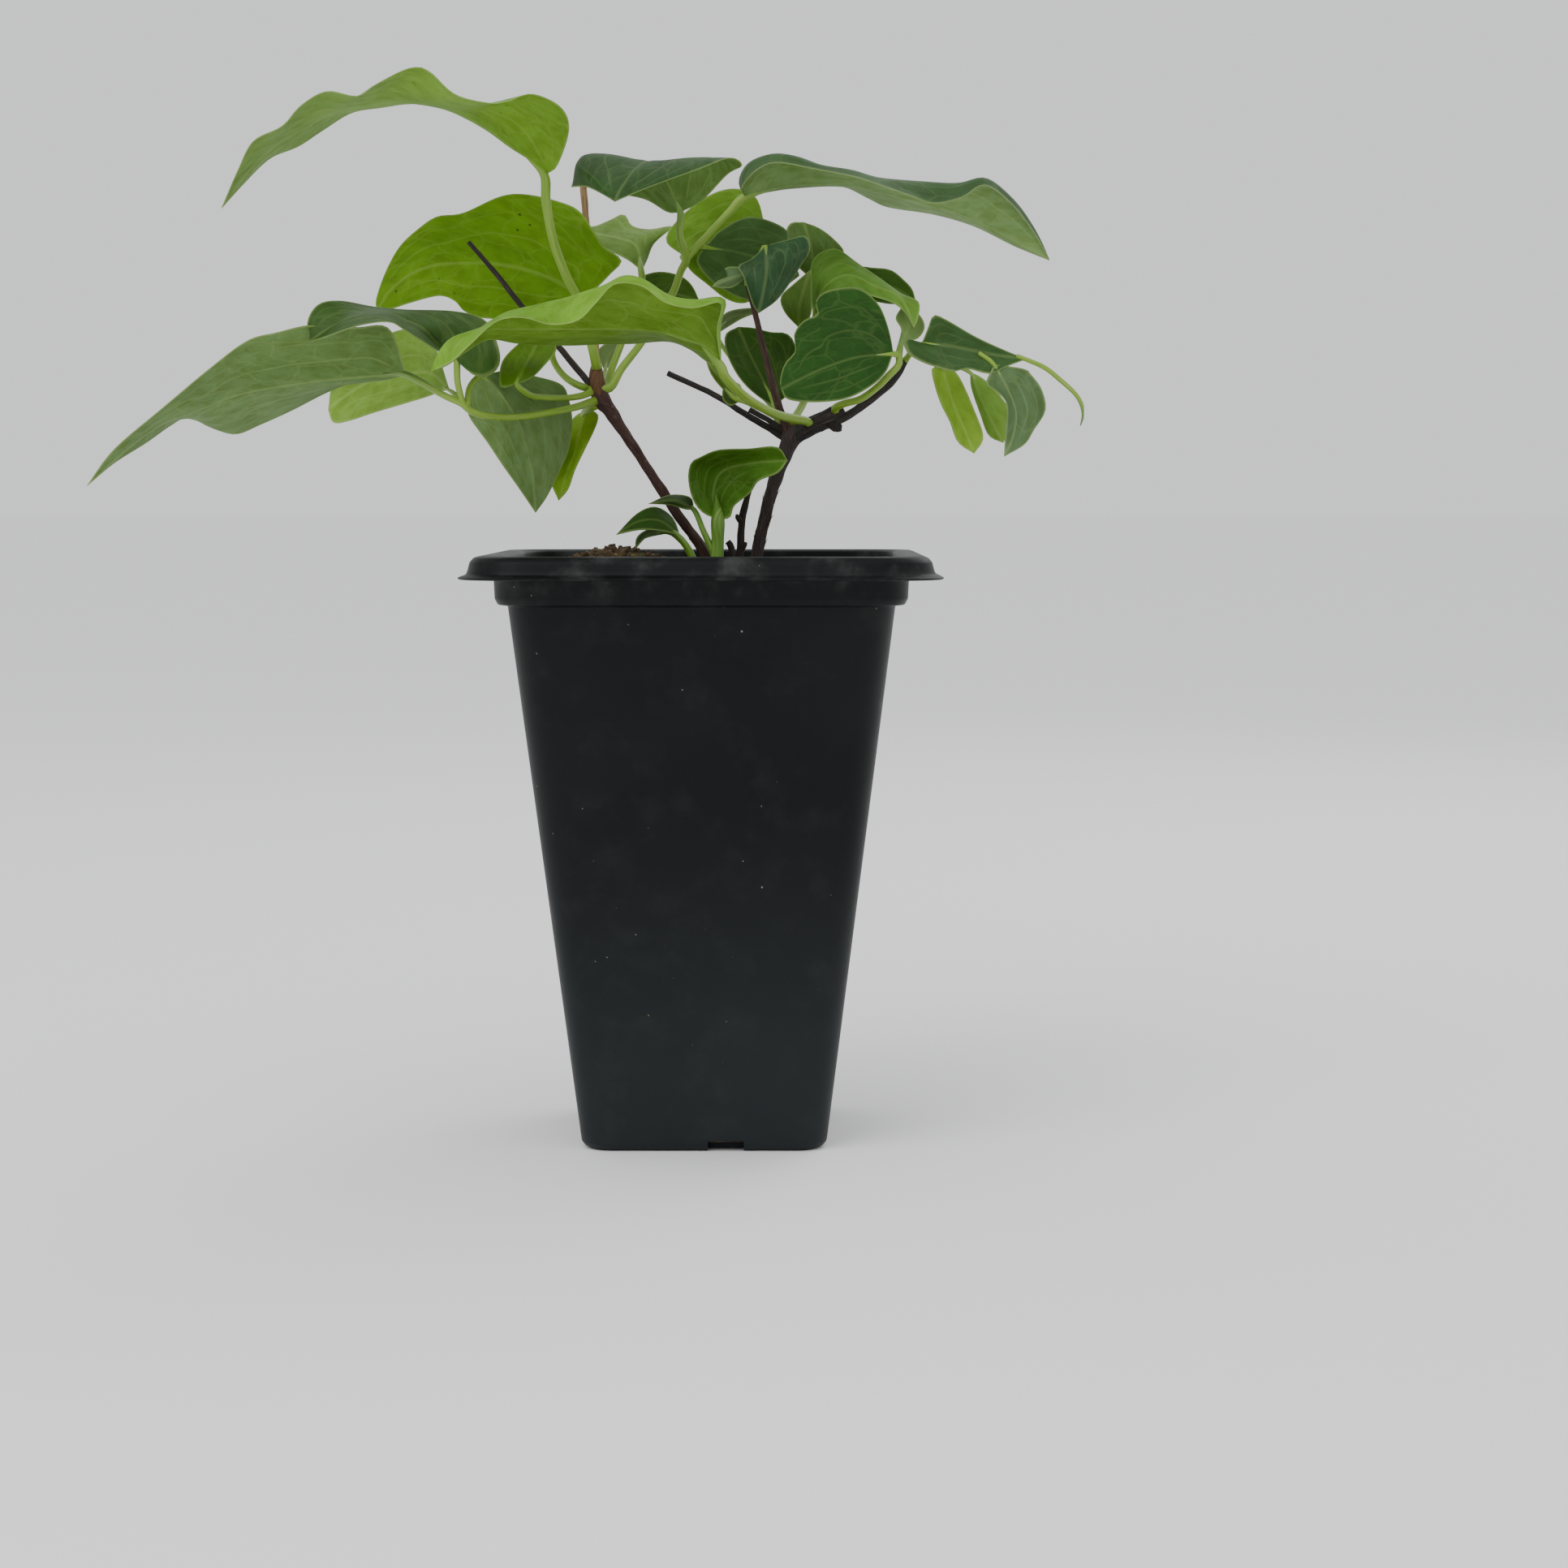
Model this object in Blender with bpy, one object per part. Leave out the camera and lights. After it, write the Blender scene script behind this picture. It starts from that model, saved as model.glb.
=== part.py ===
"""Young clematis in a tall square nursery pot.

Metres, +Z up. The pot stands on z = 0 with its axis on the Z axis and its front towards -Y.
Sizes below are millimetres. The plant's points are given as an eye in front of it, looking a
little down, sees them: how far across and up they appear on a board held square to its line of
sight at the pot's axis, and how far they really lie behind that axis. Moving a point in depth
alone keeps it in the same place to that eye.
"""
import math

import bmesh
import bpy
from mathutils import Vector

MM = 0.001

# Pot: widths across the flats
POT_HEIGHT = 131.8
BASE_WIDTH = 54.4
WALL_TOP_WIDTH = 83.8
WALL_TOP = 121.0
COLLAR_WIDTH = 89.5
COLLAR_TOP = 126.8
ROLL_WIDTH = 100.0
FLANGE_WIDTH = 104.4
MOUTH_WIDTH = 86.5
WALL = 1.2
FLOOR = 1.6
WALL_CORNER = 9.0
COLLAR_CORNER = 10.0
RIM_CORNER = 12.0
FLANGE_CORNER = 13.5
BASE_CORNER = 6.5
CORNER_STEPS = 4
NOTCH_WIDTH = 8.0
NOTCH_HEIGHT = 2.5
NOTCH_OFFSET = 4.9
DRAIN_RADIUS = 3.2
DRAIN_FROM_AXIS = 15.5

# Potting mix
GAP = 0.3
MIX_TOP = 127.0
MIX_RINGS = 9
CLOD_HEIGHT = 1.5
CLOD_LENGTH = 11.0
HEAP_AT = (-21.0, -30.0)
HEAP_HEIGHT = 2.6
HEAP_REACH = (15.5, 9.5)
HOLE_GAP = 0.6

# Leaves and stems
EYE = Vector((17.8, -720.0, 145.2))
EYE_DOWN = math.radians(5.23)
BOARD_AWAY = 720.0
BOARD_MIDDLE = 79.3
BLADE_THICK = 0.62
ROW_LENGTH = 7.0
LARGE_LEAF = 22.0
TUBE_SIDES = 6
STEM_STEP = 7.0

# Each stem is a list of points (across, up, depth, radius) from root to end
CANE_LEFT = {
    "cane": [(3.5, 98, 0, 1.2), (1.5, 118, -1, 1.2), (0.2, 130.5, -2, 1.15), (-6.0, 140, -3, 1.1),
             (-11.6, 148.5, -3.5, 1.05), (-17.5, 157.5, -4.3, 1.1), (-21.6, 163.8, -4.8, 1.5),
             (-23.4, 166.5, -5, 2.1), (-24.3, 168.2, -5.1, 1.7)],
    "sheath": [(-23.6, 165.5, -5, 1.7), (-24.3, 169, -5.2, 1.75), (-24.7, 172, -5, 1.5),
               (-24.7, 174.2, -4.4, 1.1)],
    "old_twig": [(-23.2, 166.4, -5, 0.9), (-28.3, 172.4, -5.5, 0.75), (-32.9, 177.9, -6, 0.7),
                 (-41.2, 187.1, -7, 0.6), (-47.5, 195, -7.5, 0.55), (-53.7, 202.2, -8, 0.45)],
    "dead_shoot": [(-24.7, 172.5, -4.5, 0.95), (-25.2, 182, 2, 0.85), (-25.9, 191.4, 7, 0.8),
                   (-27.2, 208.9, 9, 0.8), (-28, 219.4, 9, 0.75)],
}
CANE_RIGHT = {
    "cane": [(9.5, 98, 0, 1.4), (10.6, 118, 0, 1.4), (11.6, 130.5, 0, 1.3), (13.4, 139.3, 0, 1.35),
             (15.8, 148.2, 0, 1.4), (18.3, 154.8, 0, 1.8), (19.6, 158.5, 0, 2.3), (20, 160.6, 0, 1.7)],
    "thick_stub": [(19.8, 157.6, 0, 2.0), (24.5, 160.6, -0.6, 2.0), (28.5, 162.8, -1, 1.9),
                   (31.3, 164.3, -1, 1.7)],
    "long_twig": [(26, 160.2, -1, 1.2), (31.5, 162.4, -1.5, 0.95), (38.8, 167.6, -2, 0.85),
                  (43.2, 171.6, -2.6, 0.8), (45.4, 175.4, -3, 0.7)],
    "knob": [(27.4, 161.6, -1.4, 0.9), (29.3, 160.2, -1.8, 1.25), (30.9, 159.9, -2, 0.7)],
    "left_twig": [(18.8, 157.4, 0.4, 1.1), (14.6, 159.9, 2, 0.8), (9.4, 162.9, 3, 0.7),
                  (2, 167.5, 4, 0.65), (-8.6, 172.4, 5, 0.6)],
    "short_twig": [(18.6, 159, -0.2, 0.9), (14.6, 161.6, -0.4, 0.65), (9.9, 164.2, -0.6, 0.6)],
    "middle_twig": [(18.6, 159.4, -0.6, 1.1), (16.4, 165.6, -3, 0.85), (13.6, 176.1, -6, 0.75),
                    (11.2, 186.2, -8, 0.6), (9.4, 192.4, -9.5, 0.5)],
}
STUB_TALL = {
    "stub": [(7.6, 104, -3, 0.85), (7.9, 130.5, -3, 0.85), (8.3, 139.3, -3, 0.8), (8.9, 142, -3, 0.8),
             (9.9, 145.7, -3, 0.6)],
    "low_bud": [(8, 132.6, -3, 0.7), (8.8, 133.5, -3.6, 0.75), (9.3, 134, -3.8, 0.3)],
    "high_bud": [(8.2, 138.6, -3, 0.7), (7.4, 139.6, -3.6, 0.75), (7, 140.4, -3.8, 0.3)],
}
STUB_SHORT = {"stub": [(6.6, 108, -6, 0.8), (6.1, 130.5, -6, 0.78), (5, 134.3, -6, 0.7)]}

# Each blade is its long lines from base to tip, in the order the upper face shows them with the
# tip pointing away: one margin, the lines between, the other margin. Points are (across, up, depth)
LEAVES = {
    "leaf_spray_lower_left": {
        "stems": [
            [(-25.35, 166, -6.5, 1.0), (-31.1, 164.3, -14, 0.8), (-42.1, 162.5, -21, 0.75),
             (-49.5, 162.7, -26, 0.75), (-53.2, 163.8, -28, 0.75), (-55.4, 165.6, -29, 0.8),
             (-59.6, 167.5, -29, 0.75), (-67.9, 172.1, -26, 0.75), (-73, 172.2, -26.3, 0.45)],
            [(-55, 165.4, -29, 0.7), (-56.2, 170.5, -30, 0.7), (-56.5, 176.1, -30, 0.7),
             (-58.4, 178, -31, 0.45)],
            [(-54, 164.8, -28.6, 0.7), (-53.5, 169.1, -25.5, 0.65), (-50.9, 171.8, -22, 0.65),
             (-48.5, 169.8, -21, 0.45)],
            [(-55, 165.2, -28.6, 0.6), (-57, 167.8, -23, 0.55), (-60, 169.6, -16, 0.4)],
        ],
        "blades": [
            [[(-67.9, 172.1, -26), (-68.6, 174.8, -27), (-71.9, 182.7, -30), (-78.9, 182.8, -32),
              (-86.3, 182.8, -34), (-90.5, 183.2, -36), (-97.3, 181.6, -38), (-103.8, 179.8, -39),
              (-112.1, 173.7, -40), (-123.1, 164.5, -39), (-134.1, 155.1, -37), (-140.2, 146.9, -36)],
             [(-67.9, 172.1, -26), (-78.9, 171.7, -25), (-90, 170.6, -25), (-104.7, 168.2, -27),
              (-115.7, 164.1, -30), (-123.1, 161.3, -32), (-130.5, 156, -34), (-140.2, 146.9, -36)],
             [(-67.9, 172.1, -26), (-72.5, 170.9, -22), (-80.5, 170, -14), (-86.3, 167.8, -10),
              (-93.7, 164, -7), (-101, 160.7, -7), (-106.5, 158.6, -9), (-112.1, 160.1, -14),
              (-117.2, 162.4, -19), (-121.3, 160.5, -24), (-126.8, 156.6, -29), (-134.1, 152, -33),
              (-140.2, 146.9, -36)]],
            [[(-56.5, 176.1, -30), (-60.5, 177.4, -35), (-67.9, 182, -43), (-71.9, 184, -45),
              (-78.9, 183.1, -44), (-86.3, 180.5, -39), (-89.8, 179.6, -35)],
             [(-56.5, 176.1, -30), (-60.5, 179, -31), (-64.2, 182.4, -34), (-67.9, 184.2, -35),
              (-71.6, 185.6, -36), (-80.8, 185, -36), (-89.8, 179.6, -35)],
             [(-56.5, 176.1, -30), (-53.2, 172.4, -31.4), (-49.5, 171.6, -30), (-46.7, 174.3, -27.5),
              (-47.1, 178.9, -24), (-50, 184.4, -21.5), (-56.9, 186.4, -22), (-67.9, 186.8, -22),
              (-75.3, 187.5, -24), (-82.6, 188.8, -28), (-87.6, 188.1, -32), (-90.2, 184.4, -35),
              (-89.8, 179.6, -35)]],
            [[(-58, 168.6, -20), (-62.4, 180.7, -6), (-68.4, 182.4, 0), (-77.1, 178.2, 3),
              (-84.1, 170.6, 2), (-85.5, 164.2, 1)],
             [(-58, 168.6, -20), (-62.4, 172.4, -11), (-69.7, 171.5, -4), (-77.1, 169.7, -1),
              (-82.6, 166.5, 0), (-85.5, 164.2, 1)],
             [(-58, 168.6, -20), (-60.5, 168.2, -16), (-62.4, 167.3, -13), (-67.9, 165.6, -8),
              (-75.3, 163.4, -5), (-80.8, 161.6, -2), (-84.3, 161.2, 0), (-85.5, 164.2, 1)]],
            [[(-50.6, 171.9, -22), (-54.1, 168, -20), (-53.9, 164, -19.5), (-53.2, 161.9, -19.5),
              (-49.5, 156.8, -19), (-45.8, 151.3, -18), (-42.1, 146.1, -16), (-38.5, 140.8, -13)],
             [(-50.6, 171.9, -22), (-47.3, 168.7, -20), (-42.7, 161, -15.5), (-41.2, 155.9, -13.5),
              (-39.9, 150.4, -12.5), (-38.5, 140.8, -13)],
             [(-50.6, 171.9, -22), (-45, 173, -14), (-39.4, 171.9, -8.6), (-32.9, 170, -5),
              (-31.1, 166.9, -3), (-30.2, 161.4, -1), (-31.1, 155, -1), (-33.3, 149.8, -4),
              (-35.9, 144.5, -9), (-38.5, 140.8, -13)]],
        ],
        "colour": "#4E7236",
    },
    "leaf_inner_left": {
        "stems": [[(-26.5, 167.8, -6.7, 0.8), (-31.1, 166.8, -11, 0.7), (-38.5, 167.1, -17.5, 0.65),
                   (-41.2, 168.4, -20.5, 0.65), (-42.9, 170.2, -22.4, 0.6), (-42, 172.5, -21, 0.4)]],
        "blades": [
            [[(-42.9, 169.9, -22.4), (-46.4, 169.1, -23.4), (-46.7, 172.1, -21.6), (-46, 175.2, -18),
              (-43.6, 178, -13), (-40.3, 180.5, -9), (-37, 182, -8)],
             [(-42.9, 169.9, -22.4), (-41.2, 173.4, -20.6), (-39, 177.5, -14), (-37, 182, -8)],
             [(-42.9, 169.9, -22.4), (-39.4, 171.3, -19.6), (-35.9, 174.8, -15), (-33.8, 177.6, -11),
              (-34.8, 180.3, -9), (-37, 182, -8)]],
        ],
        "colour": "#5E8A1E",
    },
    "leaf_upper_left": {
        "stems": [[(-24.85, 174.5, -6.5, 1.1), (-25.8, 179, -9, 1.05), (-27.4, 184, -10, 1.0),
                   (-29.3, 189.9, -11, 1.0), (-32, 195.4, -12, 1.0), (-34.6, 202.8, -13, 1.0),
                   (-36.1, 211.1, -13, 1.05), (-36.6, 217.5, -13, 1.0), (-41, 221.8, -13, 0.5)]],
        "blades": [
            [[(-36.3, 217.5, -13), (-33.6, 219.4, -15), (-30.9, 227.6, -22), (-32.9, 232.8, -28),
              (-39.4, 235.7, -33), (-44.9, 234, -35), (-49.5, 233.7, -36), (-56.9, 235.7, -37),
              (-62.7, 240.9, -38), (-67, 241.6, -39), (-74.7, 237.9, -39), (-78.9, 235.2, -39),
              (-85.9, 236.3, -38), (-91.8, 233, -36), (-96, 228.4, -34), (-102.5, 225, -31),
              (-106, 218.4, -26), (-109.7, 209.8, -22)],
             [(-36.3, 217.5, -13), (-39.4, 220.8, -13), (-44, 224, -14), (-49.5, 228, -16),
              (-56.9, 231.7, -18), (-64.2, 233.5, -19), (-71.6, 233.9, -20), (-78.9, 233, -21),
              (-85.4, 231.2, -22), (-91.8, 227.8, -22), (-98.3, 223.6, -22), (-103.8, 218.4, -22),
              (-109.7, 209.8, -22)],
             [(-36.3, 217.5, -13), (-37, 221, -6), (-44, 229, 1), (-54, 233, 2), (-64, 233.8, 0),
              (-73.4, 232.6, -4), (-80.2, 231.4, -8), (-86.8, 227.4, -10), (-92.3, 223.8, -12),
              (-98.8, 221, -14), (-104.7, 215.3, -18), (-109.7, 209.8, -22)]],
        ],
        "colour": "#6FA02C",
    },
    "leaf_middle_left": {
        "stems": [[(-27.3, 169.2, -4.15, 0.9), (-31.1, 171, -3, 0.8), (-33.7, 173.9, -3, 0.75),
                   (-34.8, 177, -2.5, 0.75), (-34, 180.5, -1.6, 0.75), (-31.5, 185, -2, 0.75),
                   (-29.3, 190.2, -2, 0.7), (-33.5, 193, -2.6, 0.4)]],
        "blades": [
            [[(-28.9, 190.5, -2), (-25.4, 191.2, -1), (-21.5, 194.9, 0), (-19, 198, 1), (-23, 201, 2),
              (-24.7, 203.6, 2), (-28.3, 208.9, 3), (-32.6, 211.1, 4), (-40.3, 212.9, 5),
              (-46.4, 212.5, 5), (-55, 208.7, 5), (-60.9, 207.9, 5), (-65.5, 204.8, 5),
              (-69.4, 201, 5), (-72.5, 195.4, 4), (-74.7, 189, 4), (-74.3, 186.8, 4)],
             [(-28.9, 190.5, -2), (-34.8, 193.6, -3), (-42.1, 196, -2.5), (-49.5, 197.1, -1.5),
              (-56.9, 197.1, -0.5), (-62.4, 196.4, 1), (-67, 194.5, 2), (-71.6, 190.8, 3),
              (-74.3, 186.8, 4)],
             [(-28.9, 190.5, -2), (-29.8, 186, -2), (-35, 183.2, -1), (-42.1, 184.4, -1),
              (-50.4, 184.9, 0), (-54.6, 186.4, 0), (-56.9, 188.8, 0), (-60.5, 189.9, 1),
              (-67, 188.3, 2), (-71, 187, 3), (-74.3, 186.8, 4)]],
        ],
        "colour": "#5F9012",
    },
    "leaf_pair_back": {
        "stems": [
            [(-22.4, 169.7, -3.2, 0.9), (-21.2, 173.4, 0, 0.85), (-19.1, 178.9, 3, 0.8),
             (-16.5, 186, 8, 0.8), (-14.5, 192.7, 12, 0.8), (-14.6, 196, 12.4, 0.75),
             (-15.6, 200.5, 14.4, 0.45)],
            [(-17.4, 183.4, 6.4, 0.6), (-15.6, 184.8, 13, 0.6), (-14.5, 186.2, 20, 0.6),
             (-11, 188.3, 22.6, 0.4)],
        ],
        "blades": [
            [[(-14.5, 195.4, 12), (-13.2, 198.2, 16), (-11.6, 201.9, 17), (-7.5, 205.6, 19),
              (-12.7, 205, 24), (-16.6, 205.8, 28), (-18.8, 208.4, 31), (-24.4, 205.6, 31),
              (-31.1, 206.5, 29)],
             [(-14.5, 195.4, 12), (-15.7, 201, 15), (-20.1, 202.8, 20), (-25.6, 204, 25),
              (-31.1, 206.5, 29)],
             [(-14.5, 195.4, 12), (-15.8, 196.7, 13), (-18.2, 198.4, 13), (-23.2, 200.8, 18),
              (-27, 202.8, 23), (-31.1, 206.5, 29)]],
            [[(-14.5, 186.2, 20), (-16.4, 192.7, 20), (-13.2, 194.9, 22), (-9.4, 195.4, 24),
              (-5.3, 194.3, 25.5), (-2.9, 192.1, 26.5), (-1.3, 188.6, 27)],
             [(-14.5, 186.2, 20), (-9.5, 190.3, 23.5), (-4.8, 189.8, 26), (-1.3, 188.6, 27)],
             [(-14.5, 186.2, 20), (-10.9, 184.4, 22), (-5.3, 185, 25), (-1.3, 188.6, 27)]],
        ],
        "colour": "#4C7A30",
    },
    "leaf_spray_top": {
        "stems": [
            [(-21.5, 169.3, -5.75, 1.0), (-19.1, 173.4, -4, 0.9), (-14.9, 178.9, -1, 0.85),
             (-11, 185, 2, 0.85), (-7.5, 190.5, 3, 0.85), (-5.7, 195.4, 0, 0.85),
             (-4.4, 198.6, -2, 0.95), (-5.9, 203.7, -4, 0.85), (-5.7, 208.9, -6, 0.8),
             (-7.5, 213.8, -9, 0.45)],
            [(-4.6, 198, -1.8, 0.8), (-1.4, 201.6, -2, 0.85), (2, 205.2, -2, 0.85),
             (5.6, 209, -2, 0.9), (9, 212.4, -2, 0.9), (16.5, 214.5, -2, 0.5)],
            [(-4.6, 198.2, -1.6, 0.6), (-5, 199, 4, 0.55), (0.2, 201, 8, 0.4)],
            [(-1.8, 201.2, -2, 0.6), (-0.2, 201, 0, 0.55), (4, 200.4, 1.8, 0.4)],
        ],
        "blades": [
            [[(-5.7, 208.9, -6), (-0.7, 211.6, -7), (5, 217.5, -11), (8.3, 219.5, -16),
              (5.5, 221.2, -21), (-1.7, 218.6, -26), (-12.7, 214.6, -30), (-20.6, 211.3, -32)],
             [(-5.7, 208.9, -6), (-3.1, 213.3, -9), (0.9, 219, -13), (1.3, 221, -17),
              (-3.5, 220.5, -22), (-9.9, 217, -28), (-20.6, 211.3, -32)],
             [(-5.7, 208.9, -6), (-7.5, 213.8, -9), (-9.9, 218.4, -13), (-12.7, 220.5, -17),
              (-15.5, 219, -23), (-18.6, 215.1, -29), (-20.6, 211.3, -32)],
             [(-5.7, 208.9, -6), (-9.9, 213.3, -6), (-17.3, 218.8, -8), (-27, 221.8, -13),
              (-26.2, 218.1, -22), (-23, 214, -28.5), (-20.6, 211.3, -32)],
             [(-5.7, 208.9, -6), (-8.6, 208.9, -4), (-13.6, 211.8, -2), (-21, 213.3, -2),
              (-27.8, 214.8, -6), (-30.4, 214.6, -14), (-27, 214.6, -22), (-23.4, 213, -28),
              (-20.6, 211.3, -32)]],
            [[(9, 212.4, -2), (11.2, 213.1, 2), (16.7, 214.1, 6), (25, 214.9, 8), (31.5, 214.6, 9),
              (37, 212, 9), (41.6, 210, 8), (51.7, 208.4, 6), (60.9, 205.7, 3), (70.1, 201.2, -2),
              (78, 198, -6)],
             [(9, 212.4, -2), (16.7, 214.8, -2), (24.1, 215.5, -2), (31.5, 215.3, -3),
              (40.7, 213.5, -4), (49.9, 211.1, -5), (59.1, 208.3, -6), (68.3, 203.7, -6),
              (78, 198, -6)],
             [(9, 212.4, -2), (8, 216.2, -6), (10.3, 220.1, -8), (15.8, 221.9, -10),
              (21.3, 221.2, -12), (26.5, 219.4, -13), (33.3, 218.3, -13), (39.7, 216.5, -14),
              (49.9, 215.7, -14), (57.2, 215.3, -14), (63.3, 216.2, -13), (69.2, 211.8, -11),
              (74.2, 205.4, -8), (78, 198, -6)],
             [(9, 212.4, -2), (8.3, 214.4, -9), (11.2, 218.1, -13), (15.8, 220.1, -15),
              (24.1, 218.8, -17), (33.3, 217, -18), (39.7, 215, -20), (46.2, 212.7, -21),
              (51.7, 210.9, -21), (58.1, 212.2, -20), (63.3, 215, -17), (69.2, 210.9, -14),
              (74.2, 204.6, -10), (78, 198, -6)]],
            [[(-5, 199, 4), (-3.5, 195.8, 6), (0.2, 192.7, 8), (4.8, 189.2, 10), (9, 188.3, 12),
              (12.7, 190.8, 14), (14.9, 196.4, 16)],
             [(-5, 199, 4), (0.2, 201, 8), (5.7, 201.3, 11), (10.9, 199.7, 14), (14.9, 196.4, 16)],
             [(-5, 199, 4), (-9, 202.8, 6), (-4.8, 208.7, 8), (2, 213.3, 10), (7.7, 214.2, 12),
              (11.6, 212, 14), (13.4, 205.6, 16), (14.9, 196.4, 16)]],
            [[(-0.2, 201, 0), (3.9, 205.2, 1), (10.3, 207.9, 3), (17.8, 205.4, 6), (19, 201.9, 8),
              (21.3, 194.5, 9)],
             [(-0.2, 201, 0), (6.6, 200, 3), (14, 197.8, 6), (21.3, 194.5, 9)],
             [(-0.2, 201, 0), (-2, 197.6, 1), (2, 192.7, 3), (9.4, 189, 6), (15.8, 190.5, 8),
              (21.3, 194.5, 9)]],
        ],
        "colour": "#3F6A30",
    },
    "leaf_hanging_left": {
        "stems": [[(-25.5, 164.6, -4.2, 0.8), (-27.6, 163.4, 1, 0.7), (-28.2, 161.8, 5, 0.4)]],
        "blades": [
            [[(-27, 164.4, -0.5), (-30.6, 161.4, 6), (-32.9, 154, 10), (-35.1, 148.5, 13),
              (-33.3, 143.5, 12)],
             [(-27, 164.4, -0.5), (-28.2, 160.5, 5), (-29.6, 155, 12), (-31.5, 149.4, 14),
              (-33.3, 143.5, 12)],
             [(-27, 164.4, -0.5), (-24.3, 162.9, 2), (-25.4, 159, 7), (-27.4, 155, 10),
              (-29.6, 150.4, 12), (-31.1, 146.1, 12.5), (-33.3, 143.5, 12)]],
        ],
        "colour": "#7FA82E",
    },
    "leaf_small_left": {
        "stems": [[(-24.4, 169.8, -2.9, 0.7), (-23, 172, 3, 0.6), (-22.4, 175, 6.4, 0.4)]],
        "blades": [
            [[(-22.9, 173, 5), (-24.5, 177, 7), (-22.3, 179.3, 10), (-18.8, 179.6, 12)],
             [(-22.9, 173, 5), (-21.8, 176.6, 8), (-18.8, 179.6, 12)],
             [(-22.9, 173, 5), (-21, 174.6, 7.5), (-19.2, 177.4, 10), (-18.8, 179.6, 12)]],
        ],
        "colour": "#7E9E60",
    },
    "leaf_front": {
        "stems": [[(23, 161.5, -2.75, 1.0), (20.1, 162.1, -6, 1.0), (16.7, 162.9, -10, 1.0),
                   (13.1, 164.5, -15, 1.0), (8.5, 167.5, -22, 1.0), (4.6, 171.5, -28, 1.05),
                   (3, 174.6, -30, 1.05), (-1.5, 179.4, -30.4, 0.6)]],
        "blades": [
            [[(3.5, 174.6, -30), (2.6, 182, -38), (3.5, 188.3, -42), (-2.6, 187.2, -46),
              (-9, 188.4, -46), (-14.5, 192.2, -45), (-20.6, 192.6, -46), (-24.7, 188.5, -47),
              (-28.9, 184.4, -48), (-35, 183.4, -48), (-41.2, 185, -48), (-47.3, 184.2, -48),
              (-53.2, 179, -48), (-57.5, 175, -47), (-62.2, 172.8, -46)],
             [(3.5, 174.6, -30), (3, 183, -34), (3.5, 188.9, -37), (-3.5, 188.8, -39),
              (-9, 189.8, -39), (-14.5, 192.9, -39), (-19.1, 193.9, -39), (-23.7, 191.9, -40),
              (-31.1, 189.7, -40), (-38.5, 187.7, -41), (-45.5, 186, -42), (-50.5, 182.9, -43),
              (-56.9, 180.6, -45), (-60, 177.5, -46), (-62.2, 172.8, -46)],
             [(3.5, 174.6, -30), (0.5, 178.5, -31), (-4, 180.5, -30), (-10.9, 182.5, -29),
              (-23.7, 183.1, -29), (-38.5, 182.9, -31), (-49.5, 182.5, -36), (-56.5, 178.4, -43),
              (-62.2, 172.8, -46)],
             [(3.5, 174.6, -30), (0.6, 174.9, -26), (-3.5, 177.8, -20), (-8.6, 179.6, -15),
              (-16.4, 179.1, -15), (-23.7, 179, -16), (-31.1, 178.7, -17), (-42.1, 179.1, -22),
              (-49.1, 180, -31), (-54.6, 177, -38), (-58.5, 174.2, -43), (-62.2, 172.8, -46)]],
        ],
        "colour": "#5E8E2C",
    },
    "leaf_spray_right_back": {
        "stems": [
            [(19.65, 161.25, 1.65, 0.9), (22.6, 166.5, 10, 0.85), (25, 175, 15, 0.8),
             (25.2, 183, 13, 0.8), (24.7, 189, 14, 0.7), (24.1, 193.6, 16, 0.65),
             (24, 198.5, 16.6, 0.4)],
            [(25.2, 182.4, 13, 0.6), (24.8, 185.7, 5, 0.6), (26.4, 191, 2.4, 0.4)],
            [(25.1, 184.5, 12.8, 0.5), (28, 189.5, 11, 0.5), (31.5, 193.2, 10, 0.5),
             (35.5, 192.9, 8.8, 0.4)],
            [(25.1, 181.8, 13, 0.5), (23.4, 182.2, 8, 0.5), (21.5, 183.4, 2.6, 0.4)],
        ],
        "blades": [
            [[(24.1, 193.6, 16), (19.5, 198.2, 17), (18.2, 203.7, 19), (19.3, 206.4, 20),
              (22.3, 206.6, 20.4)],
             [(24.1, 193.6, 16), (24.1, 200, 16.5), (22.3, 206.6, 20.4)],
             [(24.1, 193.6, 16), (29.6, 196.4, 17), (31.5, 199.7, 18), (28.9, 203, 19),
              (25.6, 205.4, 20), (22.3, 206.6, 20.4)]],
            [[(24.7, 185.7, 5), (27.8, 186.9, 0), (31.2, 189.6, -2), (34.6, 191, -2.6),
              (37.9, 189.8, -3.4), (42.5, 188.3, -6), (45.6, 185.8, -9), (47.3, 182.7, -10)],
             [(24.7, 185.7, 5), (27.3, 191.8, 0.4), (32.4, 194.4, -1), (38.5, 191.9, -2.4),
              (44, 189.4, -5.4), (47.3, 182.7, -10)],
             [(24.7, 185.7, 5), (23.6, 192.7, 5), (24.5, 198.2, 6), (27.4, 200.3, 6),
              (30.2, 200.4, 5), (34.6, 197.3, 3), (39.7, 193.8, 1), (44.3, 190.5, -2),
              (48.3, 188.6, -5.4), (48.2, 185, -9), (47.3, 182.7, -10)]],
            [[(31.5, 193.2, 10), (34.2, 196.4, 10), (37.9, 196.3, 10), (42, 195.8, 10),
              (44.9, 193.6, 9), (46.9, 191.4, 8), (47.7, 188.6, 7)],
             [(31.5, 193.2, 10), (37, 192.7, 8.5), (42.5, 191.8, 8), (47.7, 188.6, 7)],
             [(31.5, 193.2, 10), (35.1, 189.9, 8), (41.6, 188.1, 7), (47.7, 188.6, 7)]],
            [[(21.3, 182.6, 3), (18, 186.2, 1), (17.1, 189.7, 0), (20.1, 192.7, -1), (24, 196, -1)],
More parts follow.
